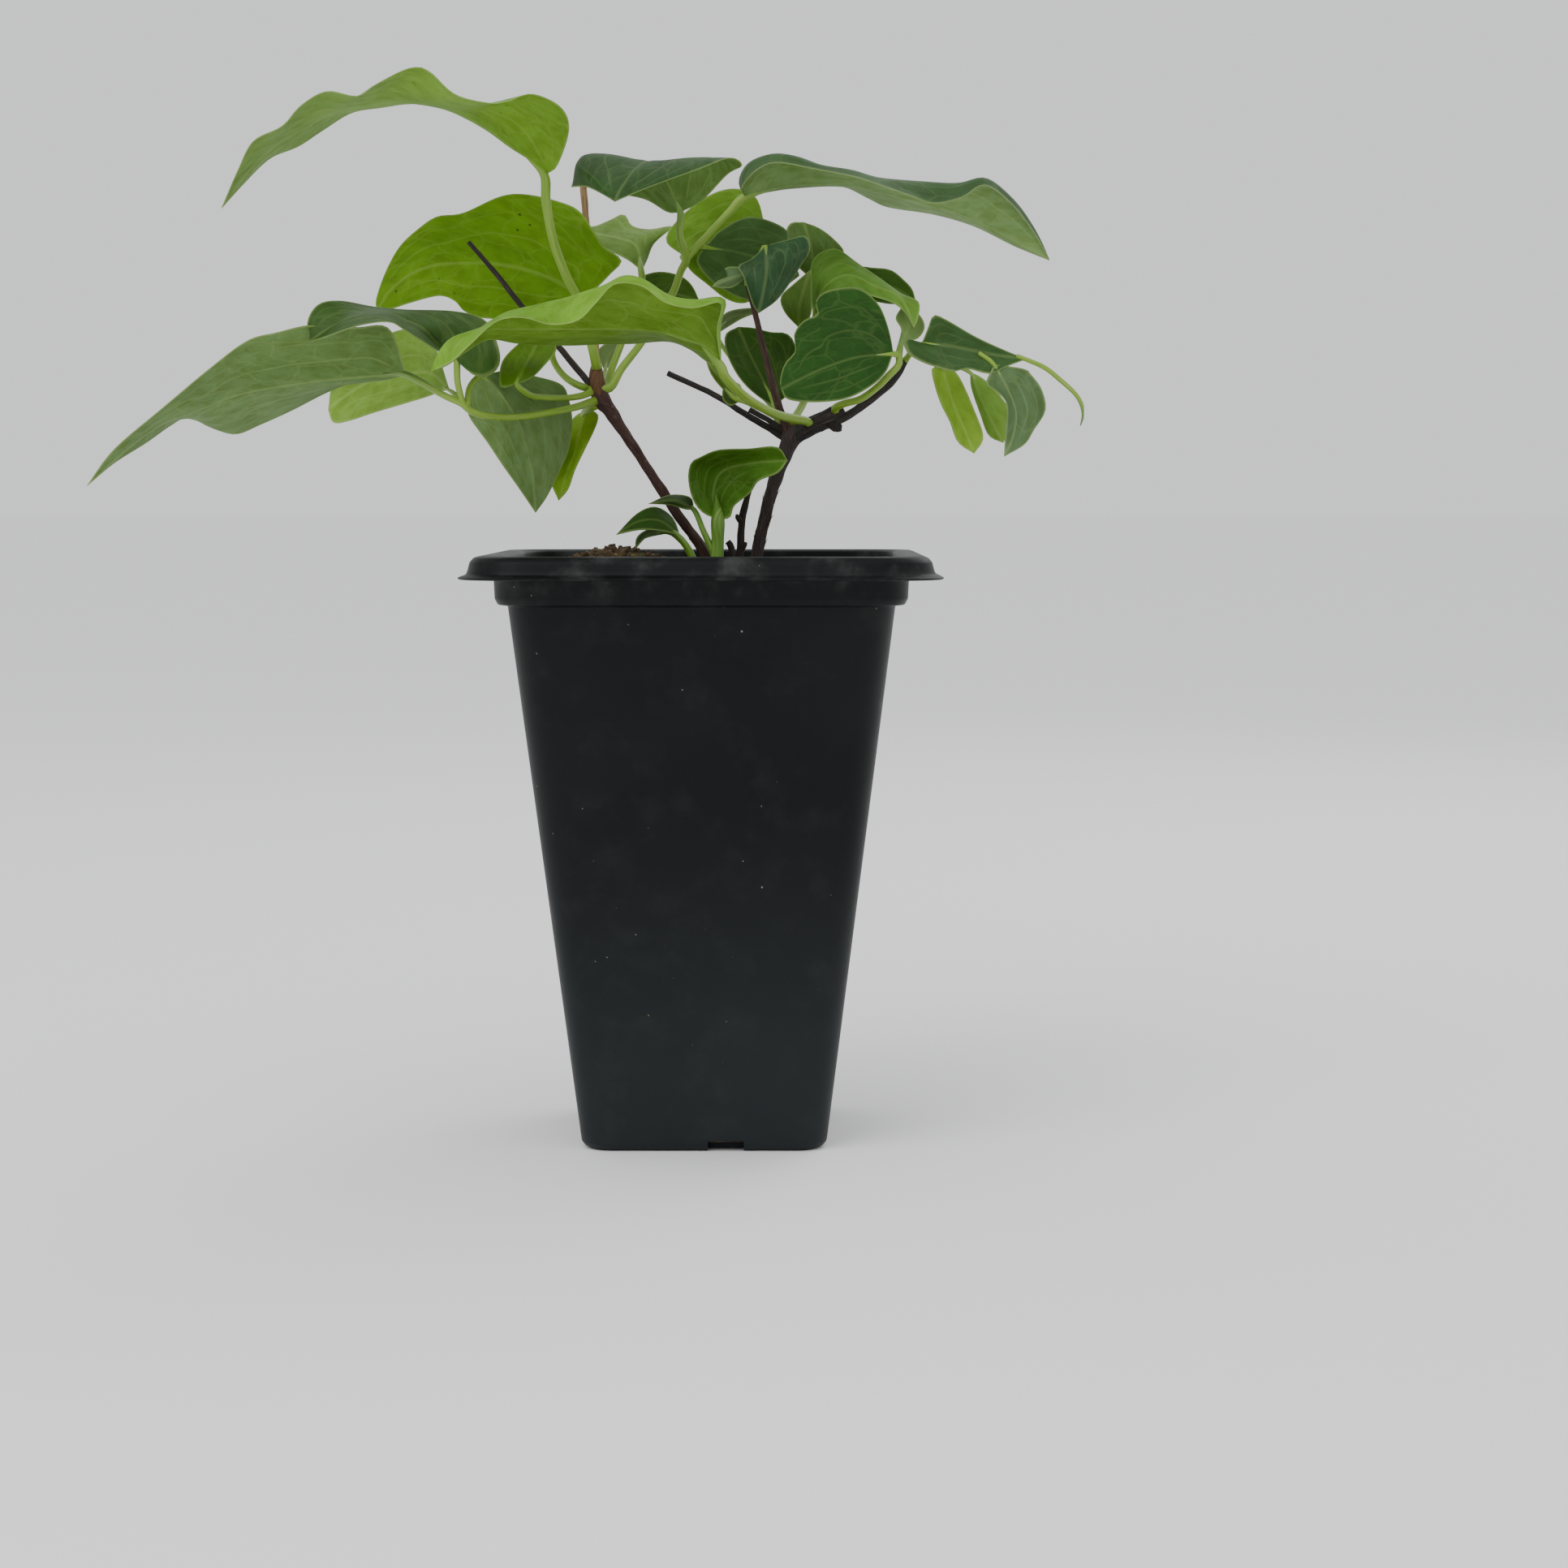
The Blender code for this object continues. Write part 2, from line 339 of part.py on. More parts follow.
             [(21.3, 182.6, 3), (21.3, 187.2, -1.5), (22.4, 191.8, -2), (24, 196, -1)],
             [(21.3, 182.6, 3), (23.8, 185.4, 0), (24.1, 189.7, -1.4), (24, 196, -1)]],
        ],
        "colour": "#4E7D2A",
    },
    "leaf_behind_twig": {
        "stems": [
            [(16.3, 160.5, 2.9, 0.8), (15.8, 165, 4, 0.7), (13, 170.6, 5, 0.4)],
            [(16.2, 163.4, 4, 0.5), (11, 169.4, 13, 0.5), (5.6, 176, 18, 0.5),
             (2.6, 181.3, 20, 0.5), (5, 184.6, 21.6, 0.4)],
        ],
        "blades": [
            [[(15.8, 165, 4), (13.1, 166.3, 5), (9.4, 169.3, 6), (6.6, 173, 7), (4.6, 177.6, 8),
              (4.6, 181.3, 8), (7.4, 182.9, 8)],
             [(15.8, 165, 4), (13.1, 170.6, 5), (10.3, 176.1, 6), (7.4, 182.9, 8)],
             [(15.8, 165, 4), (20, 169, 5.5), (21, 174.3, 7), (20.3, 179, 8.4),
              (18.4, 181.4, 9), (14.9, 181.7, 9), (10.8, 182.7, 8.5), (7.4, 182.9, 8)]],
            [[(2.6, 181.3, 20), (3.5, 184.9, 21), (5.7, 186.6, 22), (10.3, 187.2, 23),
              (12.7, 186.4, 24)],
             [(2.6, 181.3, 20), (5.5, 184.9, 21.8), (12.7, 186.4, 24)],
             [(2.6, 181.3, 20), (5.2, 182.9, 21.4), (8.6, 184.9, 22.6), (12.7, 186.4, 24)]],
        ],
        "colour": "#345E1A",
    },
    "leaf_heart_right": {
        "stems": [[(29.4, 164.5, -3.75, 0.9), (31.5, 165.5, -6.2, 0.85), (35.1, 166.5, -7, 0.8),
                   (38.8, 169.1, -7.6, 0.8), (41.6, 171.9, -8, 0.8), (43.8, 174.3, -8.2, 0.8),
                   (43.9, 176.9, -8.6, 0.8), (44.4, 179.6, -5.6, 0.6), (44.6, 182.4, -3.4, 0.4)],
                  [(43.9, 176.4, -8.5, 0.7), (42.4, 176.8, -10, 0.65), (38.4, 176.6, -12, 0.4)]],
        "blades": [
            [[(42.5, 176.7, -10), (40.7, 172.4, -11), (37, 169.1, -13), (31.5, 166.5, -15),
              (24.1, 165.8, -16), (18.6, 166.5, -16), (17.1, 168.8, -16)],
             [(42.5, 176.7, -10), (35.1, 176.1, -13.5), (27.8, 173.9, -14.8), (21.3, 171, -15.8),
              (17.1, 168.8, -16)],
             [(42.5, 176.7, -10), (42.3, 178.9, -11), (41.2, 183.5, -13), (39.2, 188.1, -15),
              (35.5, 191.4, -16), (32, 191.9, -16.4), (26.9, 190.8, -16.4), (25, 188.6, -16.2),
              (25.6, 185.9, -16.2), (22.3, 184.4, -16), (20.1, 181.3, -16), (20.4, 177.6, -16),
              (18, 174.6, -16), (16.9, 171, -16), (17.1, 168.8, -16)]],
            [[(44.4, 179.8, -5.4), (44.3, 182.6, -3.6), (43.1, 184.9, -2), (44.3, 187.2, -0.6)],
             [(44.4, 179.8, -5.4), (46, 183, -2.4), (44.3, 187.2, -0.6)],
             [(44.4, 179.8, -5.4), (48, 180.2, -3.4), (49.7, 182.9, -1), (48.2, 185.9, 0.4),
              (44.3, 187.2, -0.6)]],
        ],
        "colour": "#2A571B",
    },
    "leaf_spray_far_right": {
        "stems": [
            [(45.85, 176, -3.5, 0.7), (47.4, 178, -6.4, 0.7), (49, 178.9, -8, 0.65),
             (54.5, 178.7, -10, 0.4)],
            [(70.5, 176.4, -12, 0.5), (76.5, 173.9, -12, 0.55), (80.2, 171.1, -12, 0.55),
             (84.2, 167.3, -11, 0.5), (85.7, 163.6, -11, 0.45), (85, 160.5, -10, 0.35)],
            [(47.8, 178.2, -6.8, 0.6), (51, 176, -2, 0.55), (53.7, 173.6, 0.6, 0.5),
             (55, 170.6, 2, 0.4)],
            [(51, 176, -2, 0.5), (56, 174.4, 2, 0.45), (60.2, 172.4, 5, 0.45),
             (61.6, 169.4, 7.4, 0.35)],
            [(62, 177, -12.2, 0.5), (65.2, 174.6, -12.8, 0.5), (67.8, 170, -12.4, 0.4)],
        ],
        "blades": [
            [[(48.9, 178.9, -8), (50.4, 182.6, -9), (51.7, 185.5, -10), (54.5, 184.6, -11),
              (60.9, 180.9, -12), (66.4, 178.3, -12), (72.8, 175.6, -12)],
             [(48.9, 178.9, -8), (54.5, 178.7, -10), (60.5, 177.6, -11.5), (66.4, 176.4, -12),
              (72.8, 175.6, -12)],
             [(48.9, 178.9, -8), (44.9, 180.2, -9.4), (45.8, 177, -10.4), (48.9, 175, -11),
              (52.6, 173.7, -12), (56.3, 172.8, -13), (59.4, 173.4, -13), (64.4, 172.3, -13.4),
              (68.5, 174, -12.8), (72.8, 175.6, -12)]],
            [[(65.5, 174.4, -13), (63.8, 171, -14), (63.9, 169.5, -14), (66.1, 168.2, -14),
              (68.3, 165.1, -14), (67.9, 157.7, -13), (67.7, 153.5, -13)],
             [(65.5, 174.4, -13), (68.3, 168.8, -12), (70.1, 163.2, -11.2), (69.4, 157.7, -12),
              (67.7, 153.5, -13)],
             [(65.5, 174.4, -13), (72.3, 173.4, -12), (74, 171.9, -11), (76.2, 168.8, -9.4),
              (77.1, 164.1, -8.4), (74.5, 159.6, -9), (72.3, 156.2, -11), (67.7, 153.5, -13)]],
            [[(53.5, 174.3, 0.4), (51.3, 173.4, 0), (52.1, 169.1, 1), (53.5, 165.1, 2),
              (55.4, 161.4, 2), (57.2, 156.8, 2), (60.9, 154.2, 2)],
             [(53.5, 174.3, 0.4), (56.3, 165.1, 3.5), (59.1, 158.6, 3.2), (60.9, 154.2, 2)],
             [(53.5, 174.3, 0.4), (57.2, 172.1, 1), (61.3, 163.2, 2.6), (63, 157.7, 2.6),
              (60.9, 154.2, 2)]],
            [[(60, 172.8, 5), (60.3, 169, 8), (62.3, 163, 10), (64.2, 158.3, 10), (67.5, 156.6, 9)],
             [(60, 172.8, 5), (63.1, 165.1, 9), (67.5, 156.6, 9)],
             [(60, 172.8, 5), (63.7, 170.6, 6.6), (68.3, 165.1, 8), (68.6, 159.5, 8.6),
              (67.5, 156.6, 9)]],
        ],
        "colour": "#42683A",
    },
    "leaf_pair_fork": {
        "stems": [[(16.25, 162.45, -3.15, 0.7), (12.6, 164.2, -4.4, 0.6), (9, 165.9, -5.6, 0.55),
                   (6.2, 167, -6.4, 0.55), (3.4, 170.6, -8, 0.35)]],
        "blades": [
            [[(6.6, 166.9, -6.2), (3.9, 168.8, -7.2), (1.3, 172.1, -9), (0, 175.6, -10)],
             [(6.6, 166.9, -6.2), (4.6, 169.9, -8), (2.2, 172.8, -9.8), (0, 175.6, -10)],
             [(6.6, 166.9, -6.2), (5.9, 170.4, -7.4), (3.1, 173.4, -9), (0, 175.6, -10)]],
            [[(8.2, 166.4, -5.4), (5.7, 165, -4.4), (3.9, 166.6, -3.8), (3.9, 169.6, -3.4)],
             [(8.2, 166.4, -5.4), (6, 167.8, -3.6), (3.9, 169.6, -3.4)],
             [(8.2, 166.4, -5.4), (8.2, 169.2, -3.6), (6.6, 170.4, -3.4), (3.9, 169.6, -3.4)]],
        ],
        "colour": "#3F7420",
    },
    "young_leaves_middle": {
        "stems": [[(9.3, 193.1, -9.7, 0.5), (9.8, 194.4, -11.6, 0.6), (12, 198.5, -11.6, 0.5),
                   (13.6, 201.3, -12, 0.5), (13.8, 198, -14.4, 0.35)]],
        "blades": [
            [[(13.6, 201.3, -12), (18.6, 202.6, -12), (22.8, 203.5, -11), (23.7, 200.4, -9.6),
              (21.9, 197.3, -9.4), (19.9, 194, -10.4), (16.2, 189, -13), (12, 186, -15)],
             [(13.6, 201.3, -12), (13.8, 196.4, -15.4), (13.1, 191.2, -16.2), (12, 186, -15)],
             [(13.6, 201.3, -12), (10.3, 198.2, -13), (7.5, 196.7, -14), (8.5, 194.5, -15),
              (9.6, 191.4, -15), (10.7, 188.1, -15), (12, 186, -15)]],
            [[(10.5, 195.2, -11.6), (7.2, 196.5, -12), (4.4, 196.2, -12), (5.3, 194.5, -12),
              (2.9, 193.4, -12.6), (1.5, 192.1, -13)],
             [(10.5, 195.2, -11.6), (6, 194, -12.6), (1.5, 192.1, -13)],
             [(10.5, 195.2, -11.6), (6.6, 192.1, -12), (3.9, 191.7, -12.5), (1.5, 192.1, -13)]],
        ],
        "colour": "#355F45",
    },
    "basal_shoot_front": {
        "stems": [[(2.4, 112, -9.4, 1.5), (2.7, 128.3, -10, 1.45), (2.8, 134, -10, 1.4),
                   (2.8, 139.6, -9.8, 1.5), (2.4, 145, -8.4, 0.7)],
                  [(2.2, 131, -9.8, 0.9), (-0.4, 136.5, -9, 0.7), (-2.6, 141.5, -8, 0.6),
                   (-6, 143.4, -10, 0.4)]],
        "blades": [
            [[(2.8, 139.3, -10), (5.5, 139.7, -10), (6.6, 142.4, -10.4), (10.1, 145.2, -12),
              (12.1, 148, -14), (16.4, 149.8, -15), (18.6, 152.6, -14)],
             [(2.8, 139.3, -10), (1.7, 144.8, -7), (3.9, 150.4, -8), (11.2, 152.2, -11.4),
              (18.6, 152.6, -14)],
             [(2.8, 139.3, -10), (-0.6, 140.8, -10), (-2.9, 143.9, -10), (-3.9, 148.5, -11),
              (-3.3, 152, -12), (-1.3, 153.3, -13), (2.9, 155, -14), (9.8, 155.3, -15),
              (16.2, 155.7, -15), (18.6, 152.6, -14)]],
            [[(-2.6, 141.5, -8), (-4.6, 141.5, -10), (-8.1, 142.5, -12), (-12.9, 142.8, -13)],
             [(-2.6, 141.5, -8), (-7.2, 143.6, -12), (-12.9, 142.8, -13)],
             [(-2.6, 141.5, -8), (-3.5, 144.3, -8.4), (-8.1, 144.8, -10.6), (-12.9, 142.8, -13)]],
        ],
        "colour": "#3C6E1C",
    },
    "basal_shoot_left": {
        "stems": [[(-1.6, 116, -8, 0.9), (-1.8, 125, -8, 0.9), (-2.9, 130.5, -9, 0.85),
                   (-5.9, 135.2, -10, 0.75), (-10, 138.2, -11, 0.4)],
                  [(-5, 133.9, -9.7, 0.6), (-8, 136.2, -8, 0.5), (-12, 136, -6.8, 0.35)]],
        "blades": [
            [[(-5.7, 135.4, -10), (-9, 136.4, -12), (-14.5, 136.9, -14), (-20.2, 135.8, -13)],
             [(-5.7, 135.4, -10), (-10.5, 138.9, -11.6), (-15.5, 138.6, -12.6), (-20.2, 135.8, -13)],
             [(-5.7, 135.4, -10), (-7.4, 139.6, -8.6), (-11.2, 142.1, -9), (-15.5, 140.6, -10.4),
              (-20.2, 135.8, -13)]],
            [[(-8, 136.2, -8), (-12.7, 135.3, -7.4), (-14.7, 134.3, -7.6), (-16, 132.5, -8)],
             [(-8, 136.2, -8), (-12.7, 136, -6.6), (-16, 132.5, -8)],
             [(-8, 136.2, -8), (-12.7, 137, -6), (-15.5, 135.3, -6.4), (-16, 132.5, -8)]],
        ],
        "colour": "#2F6018",
    },
}


def seen(across, up, depth):
    """The place, in metres, of a point that the eye sees at (across, up), lying at y = depth."""
    ahead = Vector((0, math.cos(EYE_DOWN), -math.sin(EYE_DOWN)))
    upward = Vector((0, math.sin(EYE_DOWN), math.cos(EYE_DOWN)))
    ray = ahead * BOARD_AWAY + upward * (up - BOARD_MIDDLE)
    ray.x = across - EYE.x
    return (EYE + ray * ((depth - EYE.y) / ray.y)) * MM


def smooth_path(points, count):
    """count places at even spacing along a smooth curve through the points."""
    steps = 8
    ends = [points[0] * 2 - points[1], *points, points[-1] * 2 - points[-2]]
    fine = []
    for a, b, c, d in zip(ends, ends[1:], ends[2:], ends[3:]):
        for i in range(steps):
            t = i / steps
            fine.append(0.5 * (b * 2 + (c - a) * t + (a * 2 - b * 5 + c * 4 - d) * t ** 2
                               + (b * 3 - a - c * 3 + d) * t ** 3))
    fine.append(points[-1])
    run = [0.0]
    for a, b in zip(fine, fine[1:]):
        run.append(run[-1] + (b - a).length)
    places, at = [], 0
    for i in range(count):
        want = run[-1] * i / (count - 1)
        while at < len(run) - 2 and run[at + 1] < want:
            at += 1
        span = run[at + 1] - run[at]
        places.append(fine[at].lerp(fine[at + 1], (want - run[at]) / span if span else 0.0))
    return places


def across_lines(stations, columns):
    """Places from margin to margin on a smooth curve through one station of each long line."""
    ends = [stations[0] * 2 - stations[1], *stations, stations[-1] * 2 - stations[-2]]
    row = []
    for i in range(columns + 1):
        at = i * (len(stations) - 1) / columns
        k = min(int(at), len(stations) - 2)
        t = at - k
        a, b, c, d = ends[k:k + 4]
        row.append(0.5 * (b * 2 + (c - a) * t + (a * 2 - b * 5 + c * 4 - d) * t ** 2
                          + (b * 3 - a - c * 3 + d) * t ** 3))
    return row


def add_mesh(name, points, faces):
    """A new object holding the mesh, linked to the scene."""
    mesh = bpy.data.meshes.new(name)
    mesh.from_pydata([tuple(p) for p in points], [], faces)
    thing = bpy.data.objects.new(name, mesh)
    bpy.context.scene.collection.objects.link(thing)
    return thing


def blade(lines):
    """A thin closed leaf through its long lines, split into like triangles on both faces."""
    lines = [[seen(*p) for p in line] for line in lines]
    longest = max(sum((b - a).length for a, b in zip(line, line[1:])) for line in lines)
    rows = max(5, min(12, round(longest / (ROW_LENGTH * MM))))
    columns = (len(lines) - 1) * (2 if longest > LARGE_LEAF * MM else 1)
    runs = [smooth_path(line, rows + 1) for line in lines]
    grid = [across_lines([run[i] for run in runs], columns) for i in range(rows + 1)]
    base, tip = runs[0][0], runs[0][-1]
    middle = [[base], *grid[1:-1], [tip]]
    normals = []
    for i, row in enumerate(middle):
        before, after = grid[max(i - 1, 0)], grid[min(i + 1, rows)]
        here = []
        wide = grid[min(max(i, 1), rows - 1)]
        for j in range(columns + 1) if len(row) > 1 else [columns // 2]:
            across = wide[min(j + 1, columns)] - wide[max(j - 1, 0)]
            here.append(across.cross(after[j] - before[j]).normalized())
        normals.append(here)
    points, number = [], []
    for side in (0.5, -0.5):
        for row, facing in zip(middle, normals):
            number.append(range(len(points), len(points) + len(row)))
            points += [p + n * side * BLADE_THICK * MM for p, n in zip(row, facing)]
    top, under = number[:rows + 1], number[rows + 1:]
    faces = []
    for level, flip in ((top, False), (under, True)):
        for near, far in zip(level, level[1:]):
            for j in range(columns):
                a, b = near[min(j, len(near) - 1)], near[min(j + 1, len(near) - 1)]
                c, d = far[min(j + 1, len(far) - 1)], far[min(j, len(far) - 1)]
                for face in ((a, b, c), (a, c, d)):
                    if len(set(face)) == 3:
                        faces.append(face[::-1] if flip else face)
    for i in range(rows):
        for j, flip in ((0, False), (-1, True)):
            a, b, c, d = top[i][j], top[i + 1][j], under[i + 1][j], under[i][j]
            for face in ((a, b, c), (a, c, d)):
                faces.append(face[::-1] if flip else face)
    return add_mesh("blade", points, faces)


def tube(stem):
    """A closed tapered tube along a smooth curve through (across, up, depth, radius) points."""
    route = [seen(*p[:3]).to_4d() for p in stem]
    for place, p in zip(route, stem):
        place.w = p[3] * MM
    length = sum((b - a).length for a, b in zip(route, route[1:]))
    count = max(len(stem), round(length / (STEM_STEP * MM)) + 1)
    places = smooth_path(route, count)
    points, faces, turn = [], [], None
    for i, place in enumerate(places):
        along = (places[min(i + 1, count - 1)] - places[max(i - 1, 0)]).to_3d().normalized()
        turn = along.orthogonal() if turn is None else turn - along * turn.dot(along)
        turn.normalize()
        side = along.cross(turn)
        for k in range(TUBE_SIDES):
            angle = math.tau * k / TUBE_SIDES
            points.append(place.to_3d() + (turn * math.cos(angle) + side * math.sin(angle)) * place.w)
    for i in range(count - 1):
        for k in range(TUBE_SIDES):
            a, b = i * TUBE_SIDES + k, i * TUBE_SIDES + (k + 1) % TUBE_SIDES
            faces.append((a, b, b + TUBE_SIDES, a + TUBE_SIDES))
    faces.append(tuple(range(TUBE_SIDES))[::-1])
    faces.append(tuple(range((count - 1) * TUBE_SIDES, count * TUBE_SIDES)))
    return add_mesh("tube", points, faces)


def evaluated_mesh(thing):
    """The object's mesh with its modifiers applied, triangulated."""
    depsgraph = bpy.context.evaluated_depsgraph_get()
    mesh = bpy.data.meshes.new_from_object(thing.evaluated_get(depsgraph))
    work = bmesh.new()
    work.from_mesh(mesh)
    bmesh.ops.triangulate(work, faces=work.faces)
    work.to_mesh(mesh)
    work.free()
    return mesh


def fuse(name, things):
    """One body from several that run into each other."""
    first, rest = things[0], things[1:]
    if rest:
        group = bpy.data.collections.new(name)
        for thing in rest:
            group.objects.link(thing)
        union = first.modifiers.new("union", "BOOLEAN")
        union.operation = "UNION"
        union.operand_type = "COLLECTION"
        union.collection = group
        union.solver = "MANIFOLD"
    mesh = evaluated_mesh(first)
    for thing in things:
        bpy.data.objects.remove(thing)
    if rest:
        bpy.data.collections.remove(group)
    body = bpy.data.objects.new(name, mesh)
    bpy.context.scene.collection.objects.link(body)
    body.data.name = name
    return body


def linear(hexadecimal):
    """An sRGB hex colour as linear RGBA."""
    parts = [int(hexadecimal[i:i + 2], 16) / 255 for i in (1, 3, 5)]
    return [c / 12.92 if c <= 0.04045 else ((c + 0.055) / 1.055) ** 2.4 for c in parts] + [1.0]


def finish(thing, name, colour, roughness, smooth=True):
    """The object's own material, and smooth shading with sharp edges kept."""
    material = bpy.data.materials.new(name)
    material.use_nodes = True
    shader = material.node_tree.nodes["Principled BSDF"]
    shader.inputs["Base Color"].default_value = linear(colour)
    shader.inputs["Roughness"].default_value = roughness
    thing.data.materials.clear()
    thing.data.materials.append(material)
    if smooth:
        thing.data.shade_smooth()
        thing.data.set_sharp_from_angle(angle=math.radians(40))


def rounded_square(width, height, radius):
    """Places round a square with rounded corners, anticlockwise seen from above."""
    half, ring = width / 2, []
    for corner in range(4):
        for k in range(CORNER_STEPS + 1):
            angle = math.radians(90 * (corner + k / CORNER_STEPS))
            side_x, side_y = ((1, 1), (-1, 1), (-1, -1), (1, -1))[corner]
            ring.append(Vector((side_x * (half - radius) + radius * math.cos(angle),
                                side_y * (half - radius) + radius * math.sin(angle), height)) * MM)
    return ring


def loft(name, rings):
    """A closed body through rings of equal count, with its two ends filled."""
    points = [p for ring in rings for p in ring]
    n = len(rings[0])
    faces = []
    for i in range(len(rings) - 1):
        for k in range(n):
            a, b = i * n + k, i * n + (k + 1) % n
            faces.append((a, b, b + n, a + n))
    faces.append(tuple(range(n))[::-1])
    faces.append(tuple(range((len(rings) - 1) * n, len(rings) * n)))
    return add_mesh(name, points, faces)


def width_at(height):
    """Outer width of the tapering wall at a height."""
    return BASE_WIDTH + (WALL_TOP_WIDTH - BASE_WIDTH) * height / WALL_TOP


def corner_at(height):
    """Corner radius of the wall, which tightens towards the base."""
    return BASE_CORNER + (WALL_CORNER - BASE_CORNER) * height / WALL_TOP


def cutter(name, things):
    """Bodies that are cut away, hidden from the finished model."""
    group = bpy.data.collections.new(name)
    for thing in things:
        group.objects.link(thing)
        thing.hide_render = True
        thing.display_type = "WIRE"
    return group


def cut(body, name, things):
    """The body with the things cut out of it, in one Boolean that is applied."""
    group = cutter(name, things)
    modifier = body.modifiers.new(name, "BOOLEAN")
    modifier.operation = "DIFFERENCE"
    modifier.operand_type = "COLLECTION"
    modifier.collection = group
    modifier.solver = "EXACT"
    mesh = evaluated_mesh(body)
    body.modifiers.clear()
    body.data = mesh
    for thing in things:
        bpy.data.objects.remove(thing)
    bpy.data.collections.remove(group)


def box(low, high):
    """A plain box between two corners in millimetres."""
    xs, ys, zs = zip(low, high)
    ring = ((0, 0), (1, 0), (1, 1), (0, 1))
    points = [Vector((xs[i], ys[j], z)) * MM for z in zs for i, j in ring]
    faces = [(0, 3, 2, 1), (4, 5, 6, 7), (0, 1, 5, 4), (1, 2, 6, 5), (2, 3, 7, 6), (3, 0, 4, 7)]
    return add_mesh("box", points, faces)


def peg(x, y, radius, low, high, sides=12):
    """An upright round peg in millimetres."""
    rings = [[Vector((x + radius * math.cos(math.tau * k / sides),
                      y + radius * math.sin(math.tau * k / sides), z)) * MM for k in range(sides)]
             for z in (low, high)]
    return loft("peg", rings)


def make_pot():
    """Thin moulded wall with a stepped collar, a rolled rim and a turned-out flange."""
    middle = WALL_TOP / 2
    profile = [
        (BASE_WIDTH - 3.0, 0, BASE_CORNER - 1.0),
        (width_at(0.7) - 0.9, 0.7, BASE_CORNER - 0.3),
        (width_at(2.2), 2.2, corner_at(2.2)),
        (width_at(middle), middle, corner_at(middle)),
        (WALL_TOP_WIDTH, WALL_TOP, WALL_CORNER),
        (COLLAR_WIDTH - 1.8, WALL_TOP + 0.3, COLLAR_CORNER - 0.9),
        (COLLAR_WIDTH - 0.4, WALL_TOP + 1.6, COLLAR_CORNER - 0.2),
        (COLLAR_WIDTH, COLLAR_TOP, COLLAR_CORNER),
        (FLANGE_WIDTH - 0.6, COLLAR_TOP, FLANGE_CORNER - 0.3),
        (FLANGE_WIDTH, COLLAR_TOP + 0.45, FLANGE_CORNER),
        (ROLL_WIDTH + 0.8, COLLAR_TOP + 1.1, RIM_CORNER + 0.4),
        (ROLL_WIDTH, COLLAR_TOP + 2.1, RIM_CORNER),
        (ROLL_WIDTH - 0.8, POT_HEIGHT - 1.3, RIM_CORNER - 0.4),
        (ROLL_WIDTH - 2.6, POT_HEIGHT - 0.3, RIM_CORNER - 1.3),
        (ROLL_WIDTH - 4.8, POT_HEIGHT, RIM_CORNER - 2.4),
        (MOUTH_WIDTH + 3.0, POT_HEIGHT, COLLAR_CORNER),
        (MOUTH_WIDTH + 0.7, POT_HEIGHT - 0.5, WALL_CORNER),
        (MOUTH_WIDTH, POT_HEIGHT - 1.8, WALL_CORNER - 0.3),
        (MOUTH_WIDTH - 0.8, WALL_TOP + 2.0, WALL_CORNER - 0.6),
        (WALL_TOP_WIDTH - 2 * WALL, WALL_TOP - 0.6, WALL_CORNER - WALL),
        (width_at(middle) - 2 * WALL, middle, corner_at(middle) - WALL),
        (width_at(FLOOR) - 2 * WALL, FLOOR, corner_at(FLOOR) - WALL),
    ]
    pot = loft("pot", [rounded_square(*level) for level in profile])
    cuts = []
    near, far = NOTCH_OFFSET - NOTCH_WIDTH / 2, NOTCH_OFFSET + NOTCH_WIDTH / 2
    for edge in (-BASE_WIDTH / 2, BASE_WIDTH / 2):
        cuts.append(box((near, edge - 3, -1), (far, edge + 3, NOTCH_HEIGHT)))
        cuts.append(box((edge - 3, -far, -1), (edge + 3, -near, NOTCH_HEIGHT)))
    cuts += [peg(x * DRAIN_FROM_AXIS, y * DRAIN_FROM_AXIS, DRAIN_RADIUS, -1, FLOOR + 1)
             for x in (-1, 1) for y in (-1, 1)]
    cut(pot, "drainage", cuts)
    finish(pot, "moulded_plastic", "#22272B", 0.42)
    return pot


def clod(x, y):
    """Height of the potting mix above its mean: soft waves of one clod's length."""
    a = math.sin(math.tau * x / CLOD_LENGTH + 0.7) * math.cos(math.tau * y / (CLOD_LENGTH * 1.2))
    b = math.sin(math.tau * (x + 0.8 * y) / (CLOD_LENGTH * 0.55) + 1.9)
    edge = max(abs(x), abs(y)) / (MOUTH_WIDTH / 2)
    away = ((x - HEAP_AT[0]) / HEAP_REACH[0]) ** 2 + ((y - HEAP_AT[1]) / HEAP_REACH[1]) ** 2
    return CLOD_HEIGHT * (0.6 * a + 0.35 * b) * (1.0 - 0.5 * edge) + HEAP_HEIGHT * math.exp(-away)


